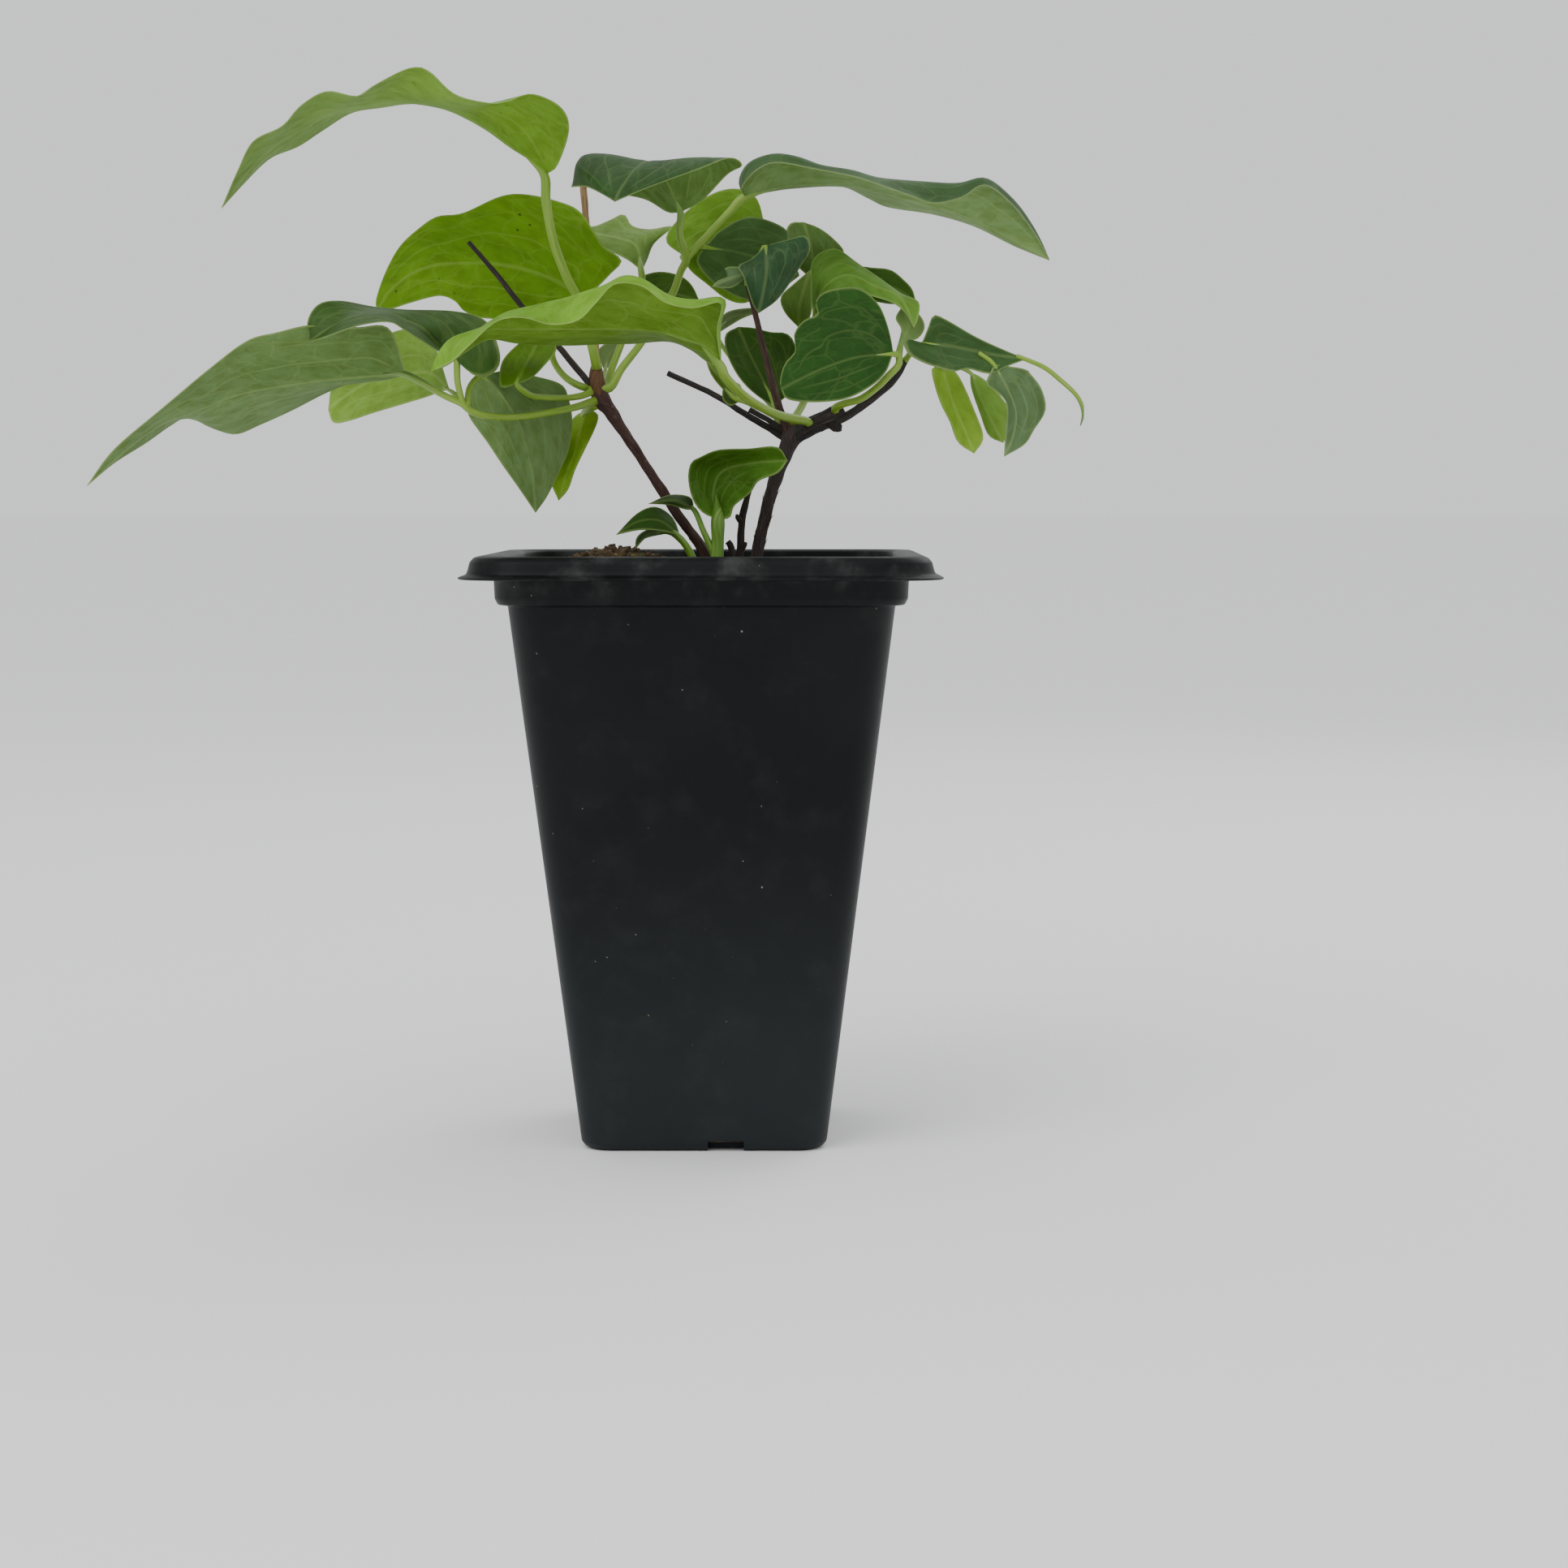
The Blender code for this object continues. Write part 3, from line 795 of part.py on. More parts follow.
def make_mix():
    """The plug of potting mix: it fills the pot and has a lumpy top with holes for the stems."""
    inset = 2 * (WALL + GAP) + 0.2
    heights = (FLOOR + GAP, WALL_TOP / 2, WALL_TOP - 1.4)
    rings = [rounded_square(width_at(z) - inset, z, corner_at(z) - WALL) for z in heights]
    rings.append(rounded_square(WALL_TOP_WIDTH - inset, MIX_TOP - 1.2, WALL_CORNER - WALL))
    mix = loft("potting_mix", rings)
    work = bmesh.new()
    work.from_mesh(mix.data)
    lid = max(work.faces, key=lambda face: face.calc_center_median().z)
    rim = list(lid.verts)
    work.faces.remove(lid)
    rings = [rim]
    for k in range(1, MIX_RINGS):
        share = 1.0 - k / MIX_RINGS
        ring_points = []
        for corner in rim:
            x, y = corner.co.x / MM * share, corner.co.y / MM * share
            ring_points.append(work.verts.new(Vector((x, y, MIX_TOP + clod(x, y))) * MM))
        rings.append(ring_points)
    for outer, inner in zip(rings, rings[1:]):
        for i in range(len(rim)):
            j = (i + 1) % len(rim)
            work.faces.new((outer[i], outer[j], inner[j], inner[i]))
    middle = work.verts.new(Vector((0, 0, MIX_TOP + clod(0, 0))) * MM)
    for i in range(len(rim)):
        work.faces.new((rings[-1][i], rings[-1][(i + 1) % len(rim)], middle))
    bmesh.ops.recalc_face_normals(work, faces=work.faces)
    work.to_mesh(mix.data)
    work.free()
    return mix


def hole_for(stem):
    """The same stem a little fatter and longer, which cuts its hole in the potting mix."""
    wider = [(*p[:3], p[3] + HOLE_GAP) for p in stem[:3]]
    first = wider[0]
    lower = (first[0] - (wider[1][0] - first[0]) * 0.02, first[1] - 0.6, first[2], first[3])
    return tube([lower, *wider])


def make_woody(name, parts, colour):
    """A cane with its stubs and twigs, fused in one body."""
    body = fuse(name, [tube(stem) for stem in parts.values()])
    finish(body, name, colour, 0.85)
    return body


def make_leafy(name, spray):
    """A petiole or small stem with its leaflets, fused in one body."""
    body = fuse(name, [tube(stem) for stem in spray["stems"]] + [blade(b) for b in spray["blades"]])
    finish(body, name, spray["colour"], 0.5)
    return body


def main():
    for thing in list(bpy.data.objects):
        bpy.data.objects.remove(thing)
    make_pot()
    mix = make_mix()
    rooted = [CANE_LEFT["cane"], CANE_RIGHT["cane"], STUB_TALL["stub"], STUB_SHORT["stub"],
              LEAVES["basal_shoot_front"]["stems"][0], LEAVES["basal_shoot_left"]["stems"][0]]
    cut(mix, "stem_holes", [hole_for(stem) for stem in rooted])
    finish(mix, "potting_mix", "#4A3524", 0.95)
    make_woody("cane_left", CANE_LEFT, "#3A2320")
    make_woody("cane_right", CANE_RIGHT, "#2C2422")
    make_woody("cane_stub_tall", STUB_TALL, "#2A211F")
    make_woody("cane_stub_short", STUB_SHORT, "#2A211F")
    for name, spray in LEAVES.items():
        make_leafy(name, spray)


main()
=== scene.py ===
"""Dressed model of a young clematis in a tall square nursery pot.

Sizes in the tables are millimetres. The plant's points are given as an eye in front of it,
looking a little down, sees them: how far across and up they appear on a board held square to
its line of sight at the pot's axis, and how far they really lie behind that axis.
"""

import math
import random

import bmesh
import bpy
from mathutils import Euler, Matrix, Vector, noise


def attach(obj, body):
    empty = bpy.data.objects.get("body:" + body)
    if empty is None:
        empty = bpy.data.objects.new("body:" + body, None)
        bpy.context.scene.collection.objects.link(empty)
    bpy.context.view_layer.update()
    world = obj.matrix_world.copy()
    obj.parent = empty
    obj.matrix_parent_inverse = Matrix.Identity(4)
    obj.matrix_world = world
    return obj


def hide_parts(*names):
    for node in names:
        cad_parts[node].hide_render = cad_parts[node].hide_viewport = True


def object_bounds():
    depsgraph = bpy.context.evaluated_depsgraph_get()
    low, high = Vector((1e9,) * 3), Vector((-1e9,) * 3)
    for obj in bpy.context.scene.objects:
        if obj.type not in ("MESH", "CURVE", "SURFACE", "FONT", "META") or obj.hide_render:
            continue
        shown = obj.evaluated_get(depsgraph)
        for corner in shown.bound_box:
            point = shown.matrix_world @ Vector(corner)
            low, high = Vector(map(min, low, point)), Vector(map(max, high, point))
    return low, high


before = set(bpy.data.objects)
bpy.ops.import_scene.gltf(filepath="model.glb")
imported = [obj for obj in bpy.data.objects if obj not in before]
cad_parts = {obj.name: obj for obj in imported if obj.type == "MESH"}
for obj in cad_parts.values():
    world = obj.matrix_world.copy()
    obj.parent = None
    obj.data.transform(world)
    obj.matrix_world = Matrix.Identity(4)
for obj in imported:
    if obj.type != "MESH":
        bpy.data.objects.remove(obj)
cad_low, cad_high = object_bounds()
MM = 0.001

# Pot: widths across the flats
POT_HEIGHT = 131.8
BASE_WIDTH = 54.4
WALL_TOP_WIDTH = 83.8
WALL_TOP = 121.0
COLLAR_WIDTH = 89.5
COLLAR_TOP = 126.8
ROLL_WIDTH = 100.0
FLANGE_WIDTH = 104.4
MOUTH_WIDTH = 86.5
WALL = 1.2
FLOOR = 1.6
WALL_CORNER = 9.0
COLLAR_CORNER = 10.0
RIM_CORNER = 12.0
FLANGE_CORNER = 13.5
BASE_CORNER = 6.5
CORNER_STEPS = 10
SIDE_STEPS = 22
NOTCH_WIDTH = 8.0
NOTCH_HEIGHT = 2.5
NOTCH_OFFSET = 4.9
DRAIN_RADIUS = 3.2
DRAIN_FROM_AXIS = 15.5

# Potting mix
GAP = 0.3
MIX_TOP = 127.0
MIX_RINGS = 34
CLOD_HEIGHT = 1.5
CLOD_LENGTH = 11.0
HEAP_AT = (-21.0, -30.0)
HEAP_HEIGHT = 2.6
HEAP_REACH = (15.5, 9.5)
MOUND_AT = (-20.0, 2.0)
MOUND_HEIGHT = 5.2
MOUND_REACH = (13.0, 11.0)

# Leaves and stems
EYE = Vector((17.8, -720.0, 145.2))
EYE_DOWN = math.radians(5.23)
BOARD_AWAY = 720.0
BOARD_MIDDLE = 79.3
LENS_MM = 72.93
BLADE_THICK = 0.5
MARGIN_THICK = 0.16
ROW_LENGTH = 1.3
COLUMN_WIDTH = 1.1
CURVE_STEPS = 12
STEM_STEP = 0.9
STALK_END = 0.12
END_FROM = 0.7
TIP_SHARE = 0.85
ROOT_SWELL = 1.15
CUT_TONE = "#6E5A45"
RIB_HEIGHT = 0.45
RIB_WIDTH = 0.55
SIDE_VEIN_HEIGHT = 0.22
SIDE_VEIN_WIDTH = 0.45
SIDE_VEINS = ((0.40, 1.0), (0.72, 0.7))
FULL_HALF = 8.0
QUILT = 0.3
PEELING = {"cane_left": 10, "cane_right": 18}

# Each stem is a list of points (across, up, depth, radius) from root to end
CANE_LEFT = {
    "cane": [(3.5, 98, 0, 1.2), (1.5, 118, -1, 1.2), (0.2, 130.5, -2, 1.15), (-6.0, 140, -3, 1.1),
             (-11.6, 148.5, -3.5, 1.05), (-17.5, 157.5, -4.3, 1.1), (-21.6, 163.8, -4.8, 1.5),
             (-23.4, 166.5, -5, 2.1), (-24.3, 168.2, -5.1, 1.7)],
    "sheath": [(-23.6, 165.5, -5, 1.7), (-24.3, 169, -5.2, 1.75), (-24.7, 172, -5, 1.5),
               (-24.7, 174.2, -4.4, 1.1)],
    "old_twig": [(-23.2, 166.4, -5, 0.9), (-28.3, 172.4, -5.5, 0.75), (-32.9, 177.9, -6, 0.7),
                 (-41.2, 187.1, -7, 0.6), (-47.5, 195, -7.5, 0.55), (-53.7, 202.2, -8, 0.45)],
    "dead_shoot": [(-24.7, 172.5, -4.5, 0.95), (-25.2, 182, 2, 0.85), (-25.9, 191.4, 7, 0.8),
                   (-27.2, 208.9, 9, 0.8), (-28, 219.4, 9, 0.75)],
}
CANE_RIGHT = {
    "cane": [(9.5, 98, 0, 1.4), (10.6, 118, 0, 1.4), (11.6, 130.5, 0, 1.3), (13.4, 139.3, 0, 1.35),
             (15.8, 148.2, 0, 1.4), (18.3, 154.8, 0, 1.8), (19.6, 158.5, 0, 2.3), (20, 160.6, 0, 1.7)],
    "thick_stub": [(19.8, 157.6, 0, 2.0), (24.5, 160.6, -0.6, 2.0), (28.5, 162.8, -1, 1.9),
                   (31.3, 164.3, -1, 1.7)],
    "long_twig": [(26, 160.2, -1, 1.2), (31.5, 162.4, -1.5, 0.95), (38.8, 167.6, -2, 0.85),
                  (43.2, 171.6, -2.6, 0.8), (45.4, 175.4, -3, 0.7)],
    "knob": [(27.4, 161.6, -1.4, 0.9), (29.3, 160.2, -1.8, 1.25), (30.9, 159.9, -2, 0.7)],
    "left_twig": [(18.8, 157.4, 0.4, 1.1), (14.6, 159.9, 2, 0.8), (9.4, 162.9, 3, 0.7),
                  (2, 167.5, 4, 0.65), (-8.6, 172.4, 5, 0.6)],
    "short_twig": [(18.6, 159, -0.2, 0.9), (14.6, 161.6, -0.4, 0.65), (9.9, 164.2, -0.6, 0.6)],
    "middle_twig": [(18.6, 159.4, -0.6, 1.1), (16.4, 165.6, -3, 0.85), (13.6, 176.1, -6, 0.75),
                    (11.2, 186.2, -8, 0.6), (9.4, 192.4, -9.5, 0.5)],
}
STUB_TALL = {
    "stub": [(7.6, 104, -3, 0.85), (7.9, 130.5, -3, 0.85), (8.3, 139.3, -3, 0.8), (8.9, 142, -3, 0.8),
             (9.9, 145.7, -3, 0.6)],
    "low_bud": [(8, 132.6, -3, 0.7), (8.8, 133.5, -3.6, 0.75), (9.3, 134, -3.8, 0.3)],
    "high_bud": [(8.2, 138.6, -3, 0.7), (7.4, 139.6, -3.6, 0.75), (7, 140.4, -3.8, 0.3)],
}
STUB_SHORT = {"stub": [(6.6, 108, -6, 0.8), (6.1, 130.5, -6, 0.78), (5, 134.3, -6, 0.7)]}

# Each blade is its long lines from base to tip, in the order the upper face shows them with the
# tip pointing away: one margin, the lines between, the other margin. Points are (across, up, depth)
LEAVES = {
    "leaf_spray_lower_left": {
        "stems": [
            [(-25.35, 166, -6.5, 1.0), (-31.1, 164.3, -14, 0.8), (-42.1, 162.5, -21, 0.75),
             (-49.5, 162.7, -26, 0.75), (-53.2, 163.8, -28, 0.75), (-55.4, 165.6, -29, 0.8),
             (-59.6, 167.5, -29, 0.75), (-67.9, 172.1, -26, 0.75), (-73, 172.2, -26.3, 0.45)],
            [(-55, 165.4, -29, 0.7), (-56.2, 170.5, -30, 0.7), (-56.5, 176.1, -30, 0.7),
             (-58.4, 178, -31, 0.45)],
            [(-54, 164.8, -28.6, 0.7), (-53.5, 169.1, -25.5, 0.65), (-50.9, 171.8, -22, 0.65),
             (-48.5, 169.8, -21, 0.45)],
            [(-55, 165.2, -28.6, 0.6), (-57, 167.8, -23, 0.55), (-60, 169.6, -16, 0.4)],
        ],
        "blades": [
            [[(-67.9, 172.1, -26), (-68.6, 174.8, -27), (-71.9, 182.7, -30), (-78.9, 182.8, -32),
              (-86.3, 182.8, -34), (-90.5, 183.2, -36), (-97.3, 181.6, -38), (-103.8, 179.8, -39),
              (-112.1, 173.7, -40), (-123.1, 164.5, -39), (-134.1, 155.1, -37), (-140.2, 146.9, -36)],
             [(-67.9, 172.1, -26), (-78.9, 171.7, -25), (-90, 170.6, -25), (-104.7, 168.2, -27),
              (-115.7, 164.1, -30), (-123.1, 161.3, -32), (-130.5, 156, -34), (-140.2, 146.9, -36)],
             [(-67.9, 172.1, -26), (-72.5, 170.9, -22), (-80.5, 170, -14), (-86.3, 167.8, -10),
              (-93.7, 164, -7), (-101, 160.7, -7), (-106.5, 158.6, -9), (-112.1, 160.1, -14),
              (-117.2, 162.4, -19), (-121.3, 160.5, -24), (-126.8, 156.6, -29), (-134.1, 152, -33),
              (-140.2, 146.9, -36)]],
            [[(-56.5, 176.1, -30), (-60.5, 177.4, -35), (-67.9, 182, -43), (-71.9, 184, -45),
              (-78.9, 183.1, -44), (-86.3, 180.5, -39), (-89.8, 179.6, -35)],
             [(-56.5, 176.1, -30), (-60.5, 179, -31), (-64.2, 182.4, -34), (-67.9, 184.2, -35),
              (-71.6, 185.6, -36), (-80.8, 185, -36), (-89.8, 179.6, -35)],
             [(-56.5, 176.1, -30), (-53.2, 172.4, -31.4), (-49.5, 171.6, -30), (-46.7, 174.3, -27.5),
              (-47.1, 178.9, -24), (-50, 184.4, -21.5), (-56.9, 186.4, -22), (-67.9, 186.8, -22),
              (-75.3, 187.5, -24), (-82.6, 188.8, -28), (-87.6, 188.1, -32), (-90.2, 184.4, -35),
              (-89.8, 179.6, -35)]],
            [[(-58, 168.6, -20), (-62.4, 180.7, -6), (-68.4, 182.4, 0), (-77.1, 178.2, 3),
              (-84.1, 170.6, 2), (-85.5, 164.2, 1)],
             [(-58, 168.6, -20), (-62.4, 172.4, -11), (-69.7, 171.5, -4), (-77.1, 169.7, -1),
              (-82.6, 166.5, 0), (-85.5, 164.2, 1)],
             [(-58, 168.6, -20), (-60.5, 168.2, -16), (-62.4, 167.3, -13), (-67.9, 165.6, -8),
              (-75.3, 163.4, -5), (-80.8, 161.6, -2), (-84.3, 161.2, 0), (-85.5, 164.2, 1)]],
            [[(-50.6, 171.9, -22), (-54.1, 168, -20), (-53.9, 164, -19.5), (-53.2, 161.9, -19.5),
              (-49.5, 156.8, -19), (-45.8, 151.3, -18), (-42.1, 146.1, -16), (-38.5, 140.8, -13)],
             [(-50.6, 171.9, -22), (-47.3, 168.7, -20), (-42.7, 161, -15.5), (-41.2, 155.9, -13.5),
              (-39.9, 150.4, -12.5), (-38.5, 140.8, -13)],
             [(-50.6, 171.9, -22), (-45, 173, -14), (-39.4, 171.9, -8.6), (-32.9, 170, -5),
              (-31.1, 166.9, -3), (-30.2, 161.4, -1), (-31.1, 155, -1), (-33.3, 149.8, -4),
              (-35.9, 144.5, -9), (-38.5, 140.8, -13)]],
        ],
    },
    "leaf_inner_left": {
        "stems": [[(-26.5, 167.8, -6.7, 0.8), (-31.1, 166.8, -11, 0.7), (-38.5, 167.1, -17.5, 0.65),
                   (-41.2, 168.4, -20.5, 0.65), (-42.9, 170.2, -22.4, 0.6), (-42, 172.5, -21, 0.4)]],
        "blades": [
            [[(-42.9, 169.9, -22.4), (-46.4, 169.1, -23.4), (-46.7, 172.1, -21.6), (-46, 175.2, -18),
              (-43.6, 178, -13), (-40.3, 180.5, -9), (-37, 182, -8)],
             [(-42.9, 169.9, -22.4), (-41.2, 173.4, -20.6), (-39, 177.5, -14), (-37, 182, -8)],
             [(-42.9, 169.9, -22.4), (-39.4, 171.3, -19.6), (-35.9, 174.8, -15), (-33.8, 177.6, -11),
              (-34.8, 180.3, -9), (-37, 182, -8)]],
        ],
    },
    "leaf_upper_left": {
        "stems": [[(-24.85, 174.5, -6.5, 1.1), (-25.8, 179, -9, 1.05), (-27.4, 184, -10, 1.0),
                   (-29.3, 189.9, -11, 1.0), (-32, 195.4, -12, 1.0), (-34.6, 202.8, -13, 1.0),
                   (-36.1, 211.1, -13, 1.05), (-36.6, 217.5, -13, 1.0), (-41, 221.8, -13, 0.5)]],
        "blades": [
            [[(-36.3, 217.5, -13), (-33.6, 219.4, -15), (-30.9, 227.6, -22), (-32.9, 232.8, -28),
              (-39.4, 235.7, -33), (-44.9, 234, -35), (-49.5, 233.7, -36), (-56.9, 235.7, -37),
              (-62.7, 240.9, -38), (-67, 241.6, -39), (-74.7, 237.9, -39), (-78.9, 235.2, -39),
              (-85.9, 236.3, -38), (-91.8, 233, -36), (-96, 228.4, -34), (-102.5, 225, -31),
              (-106, 218.4, -26), (-109.7, 209.8, -22)],
             [(-36.3, 217.5, -13), (-39.4, 220.8, -13), (-44, 224, -14), (-49.5, 228, -16),
              (-56.9, 231.7, -18), (-64.2, 233.5, -19), (-71.6, 233.9, -20), (-78.9, 233, -21),
              (-85.4, 231.2, -22), (-91.8, 227.8, -22), (-98.3, 223.6, -22), (-103.8, 218.4, -22),
              (-109.7, 209.8, -22)],
             [(-36.3, 217.5, -13), (-37, 221, -6), (-44, 229, 1), (-54, 233, 2), (-64, 233.8, 0),
              (-73.4, 232.6, -4), (-80.2, 231.4, -8), (-86.8, 227.4, -10), (-92.3, 223.8, -12),
              (-98.8, 221, -14), (-104.7, 215.3, -18), (-109.7, 209.8, -22)]],
        ],
    },
    "leaf_middle_left": {
        "stems": [[(-27.3, 169.2, -4.15, 0.9), (-31.1, 171, -3, 0.8), (-33.7, 173.9, -3, 0.75),
                   (-34.8, 177, -2.5, 0.75), (-34, 180.5, -1.6, 0.75), (-31.5, 185, -2, 0.75),
                   (-29.3, 190.2, -2, 0.7), (-33.5, 193, -2.6, 0.4)]],
        "blades": [
            [[(-28.9, 190.5, -2), (-25.4, 191.2, -1), (-21.5, 194.9, 0), (-19, 198, 1), (-23, 201, 2),
              (-24.7, 203.6, 2), (-28.3, 208.9, 3), (-32.6, 211.1, 4), (-40.3, 212.9, 5),
              (-46.4, 212.5, 5), (-55, 208.7, 5), (-60.9, 207.9, 5), (-65.5, 204.8, 5),
              (-69.4, 201, 5), (-72.5, 195.4, 4), (-74.7, 189, 4), (-74.3, 186.8, 4)],
             [(-28.9, 190.5, -2), (-34.8, 193.6, -3), (-42.1, 196, -2.5), (-49.5, 197.1, -1.5),
              (-56.9, 197.1, -0.5), (-62.4, 196.4, 1), (-67, 194.5, 2), (-71.6, 190.8, 3),
              (-74.3, 186.8, 4)],
             [(-28.9, 190.5, -2), (-29.8, 186, -2), (-35, 183.2, -1), (-42.1, 184.4, -1),
              (-50.4, 184.9, 0), (-54.6, 186.4, 0), (-56.9, 188.8, 0), (-60.5, 189.9, 1),
              (-67, 188.3, 2), (-71, 187, 3), (-74.3, 186.8, 4)]],
        ],
    },
    "leaf_pair_back": {
        "stems": [
            [(-22.4, 169.7, -3.2, 0.9), (-21.2, 173.4, 0, 0.85), (-19.1, 178.9, 3, 0.8),
             (-16.5, 186, 8, 0.8), (-14.5, 192.7, 12, 0.8), (-14.6, 196, 12.4, 0.75),
             (-15.6, 200.5, 14.4, 0.45)],
            [(-17.4, 183.4, 6.4, 0.6), (-15.6, 184.8, 13, 0.6), (-14.5, 186.2, 20, 0.6),
             (-11, 188.3, 22.6, 0.4)],
        ],
        "blades": [
            [[(-14.5, 195.4, 12), (-13.2, 198.2, 16), (-11.6, 201.9, 17), (-7.5, 205.6, 19),
              (-12.7, 205, 24), (-16.6, 205.8, 28), (-18.8, 208.4, 31), (-24.4, 205.6, 31),
              (-31.1, 206.5, 29)],
             [(-14.5, 195.4, 12), (-15.7, 201, 15), (-20.1, 202.8, 20), (-25.6, 204, 25),
              (-31.1, 206.5, 29)],
             [(-14.5, 195.4, 12), (-15.8, 196.7, 13), (-18.2, 198.4, 13), (-23.2, 200.8, 18),
              (-27, 202.8, 23), (-31.1, 206.5, 29)]],
            [[(-14.5, 186.2, 20), (-16.4, 192.7, 20), (-13.2, 194.9, 22), (-9.4, 195.4, 24),
              (-5.3, 194.3, 25.5), (-2.9, 192.1, 26.5), (-1.3, 188.6, 27)],
             [(-14.5, 186.2, 20), (-9.5, 190.3, 23.5), (-4.8, 189.8, 26), (-1.3, 188.6, 27)],
             [(-14.5, 186.2, 20), (-10.9, 184.4, 22), (-5.3, 185, 25), (-1.3, 188.6, 27)]],
        ],
    },
    "leaf_spray_top": {
        "stems": [
            [(-21.5, 169.3, -5.75, 1.0), (-19.1, 173.4, -4, 0.9), (-14.9, 178.9, -1, 0.85),
             (-11, 185, 2, 0.85), (-7.5, 190.5, 3, 0.85), (-5.7, 195.4, 0, 0.85),
             (-4.4, 198.6, -2, 0.95), (-5.9, 203.7, -4, 0.85), (-5.7, 208.9, -6, 0.8),
             (-7.5, 213.8, -9, 0.45)],
            [(-4.6, 198, -1.8, 0.8), (-1.4, 201.6, -2, 0.85), (2, 205.2, -2, 0.85),
             (5.6, 209, -2, 0.9), (9, 212.4, -2, 0.9), (16.5, 214.5, -2, 0.5)],
            [(-4.6, 198.2, -1.6, 0.6), (-5, 199, 4, 0.55), (0.2, 201, 8, 0.4)],
            [(-1.8, 201.2, -2, 0.6), (-0.2, 201, 0, 0.55), (4, 200.4, 1.8, 0.4)],
        ],
        "blades": [
            [[(-5.7, 208.9, -6), (-0.7, 211.6, -7), (5, 217.5, -11), (8.3, 219.5, -16),
              (5.5, 221.2, -21), (-1.7, 218.6, -26), (-12.7, 214.6, -30), (-20.6, 211.3, -32)],
             [(-5.7, 208.9, -6), (-3.1, 213.3, -9), (0.9, 219, -13), (1.3, 221, -17),
              (-3.5, 220.5, -22), (-9.9, 217, -28), (-20.6, 211.3, -32)],
             [(-5.7, 208.9, -6), (-7.5, 213.8, -9), (-9.9, 218.4, -13), (-12.7, 220.5, -17),
              (-15.5, 219, -23), (-18.6, 215.1, -29), (-20.6, 211.3, -32)],
             [(-5.7, 208.9, -6), (-9.9, 213.3, -6), (-17.3, 218.8, -8), (-27, 221.8, -13),
              (-26.2, 218.1, -22), (-23, 214, -28.5), (-20.6, 211.3, -32)],
             [(-5.7, 208.9, -6), (-8.6, 208.9, -4), (-13.6, 211.8, -2), (-21, 213.3, -2),
              (-27.8, 214.8, -6), (-30.4, 214.6, -14), (-27, 214.6, -22), (-23.4, 213, -28),
              (-20.6, 211.3, -32)]],
            [[(9, 212.4, -2), (11.2, 213.1, 2), (16.7, 214.1, 6), (25, 214.9, 8), (31.5, 214.6, 9),
              (37, 212, 9), (41.6, 210, 8), (51.7, 208.4, 6), (60.9, 205.7, 3), (70.1, 201.2, -2),
              (78, 198, -6)],
             [(9, 212.4, -2), (16.7, 214.8, -2), (24.1, 215.5, -2), (31.5, 215.3, -3),
              (40.7, 213.5, -4), (49.9, 211.1, -5), (59.1, 208.3, -6), (68.3, 203.7, -6),
              (78, 198, -6)],
             [(9, 212.4, -2), (8, 216.2, -6), (10.3, 220.1, -8), (15.8, 221.9, -10),
              (21.3, 221.2, -12), (26.5, 219.4, -13), (33.3, 218.3, -13), (39.7, 216.5, -14),
              (49.9, 215.7, -14), (57.2, 215.3, -14), (63.3, 216.2, -13), (69.2, 211.8, -11),
              (74.2, 205.4, -8), (78, 198, -6)],
             [(9, 212.4, -2), (8.3, 214.4, -9), (11.2, 218.1, -13), (15.8, 220.1, -15),
              (24.1, 218.8, -17), (33.3, 217, -18), (39.7, 215, -20), (46.2, 212.7, -21),
              (51.7, 210.9, -21), (58.1, 212.2, -20), (63.3, 215, -17), (69.2, 210.9, -14),
              (74.2, 204.6, -10), (78, 198, -6)]],
            [[(-5, 199, 4), (-3.5, 195.8, 6), (0.2, 192.7, 8), (4.8, 189.2, 10), (9, 188.3, 12),
              (12.7, 190.8, 14), (14.9, 196.4, 16)],
             [(-5, 199, 4), (0.2, 201, 8), (5.7, 201.3, 11), (10.9, 199.7, 14), (14.9, 196.4, 16)],
             [(-5, 199, 4), (-9, 202.8, 6), (-4.8, 208.7, 8), (2, 213.3, 10), (7.7, 214.2, 12),
              (11.6, 212, 14), (13.4, 205.6, 16), (14.9, 196.4, 16)]],
            [[(-0.2, 201, 0), (3.9, 205.2, 1), (10.3, 207.9, 3), (17.8, 205.4, 6), (19, 201.9, 8),
              (21.3, 194.5, 9)],
             [(-0.2, 201, 0), (6.6, 200, 3), (14, 197.8, 6), (21.3, 194.5, 9)],
             [(-0.2, 201, 0), (-2, 197.6, 1), (2, 192.7, 3), (9.4, 189, 6), (15.8, 190.5, 8),
              (21.3, 194.5, 9)]],
        ],
    },
    "leaf_hanging_left": {
        "stems": [[(-25.5, 164.6, -4.2, 0.8), (-27.6, 163.4, 1, 0.7), (-28.2, 161.8, 5, 0.4)]],
        "blades": [
            [[(-27, 164.4, -0.5), (-30.6, 161.4, 6), (-32.9, 154, 10), (-35.1, 148.5, 13),
              (-33.3, 143.5, 12)],
             [(-27, 164.4, -0.5), (-28.2, 160.5, 5), (-29.6, 155, 12), (-31.5, 149.4, 14),
              (-33.3, 143.5, 12)],
             [(-27, 164.4, -0.5), (-24.3, 162.9, 2), (-25.4, 159, 7), (-27.4, 155, 10),
              (-29.6, 150.4, 12), (-31.1, 146.1, 12.5), (-33.3, 143.5, 12)]],
        ],
    },
    "leaf_small_left": {
        "stems": [[(-24.4, 169.8, -2.9, 0.7), (-23, 172, 3, 0.6), (-22.4, 175, 6.4, 0.4)]],
        "blades": [
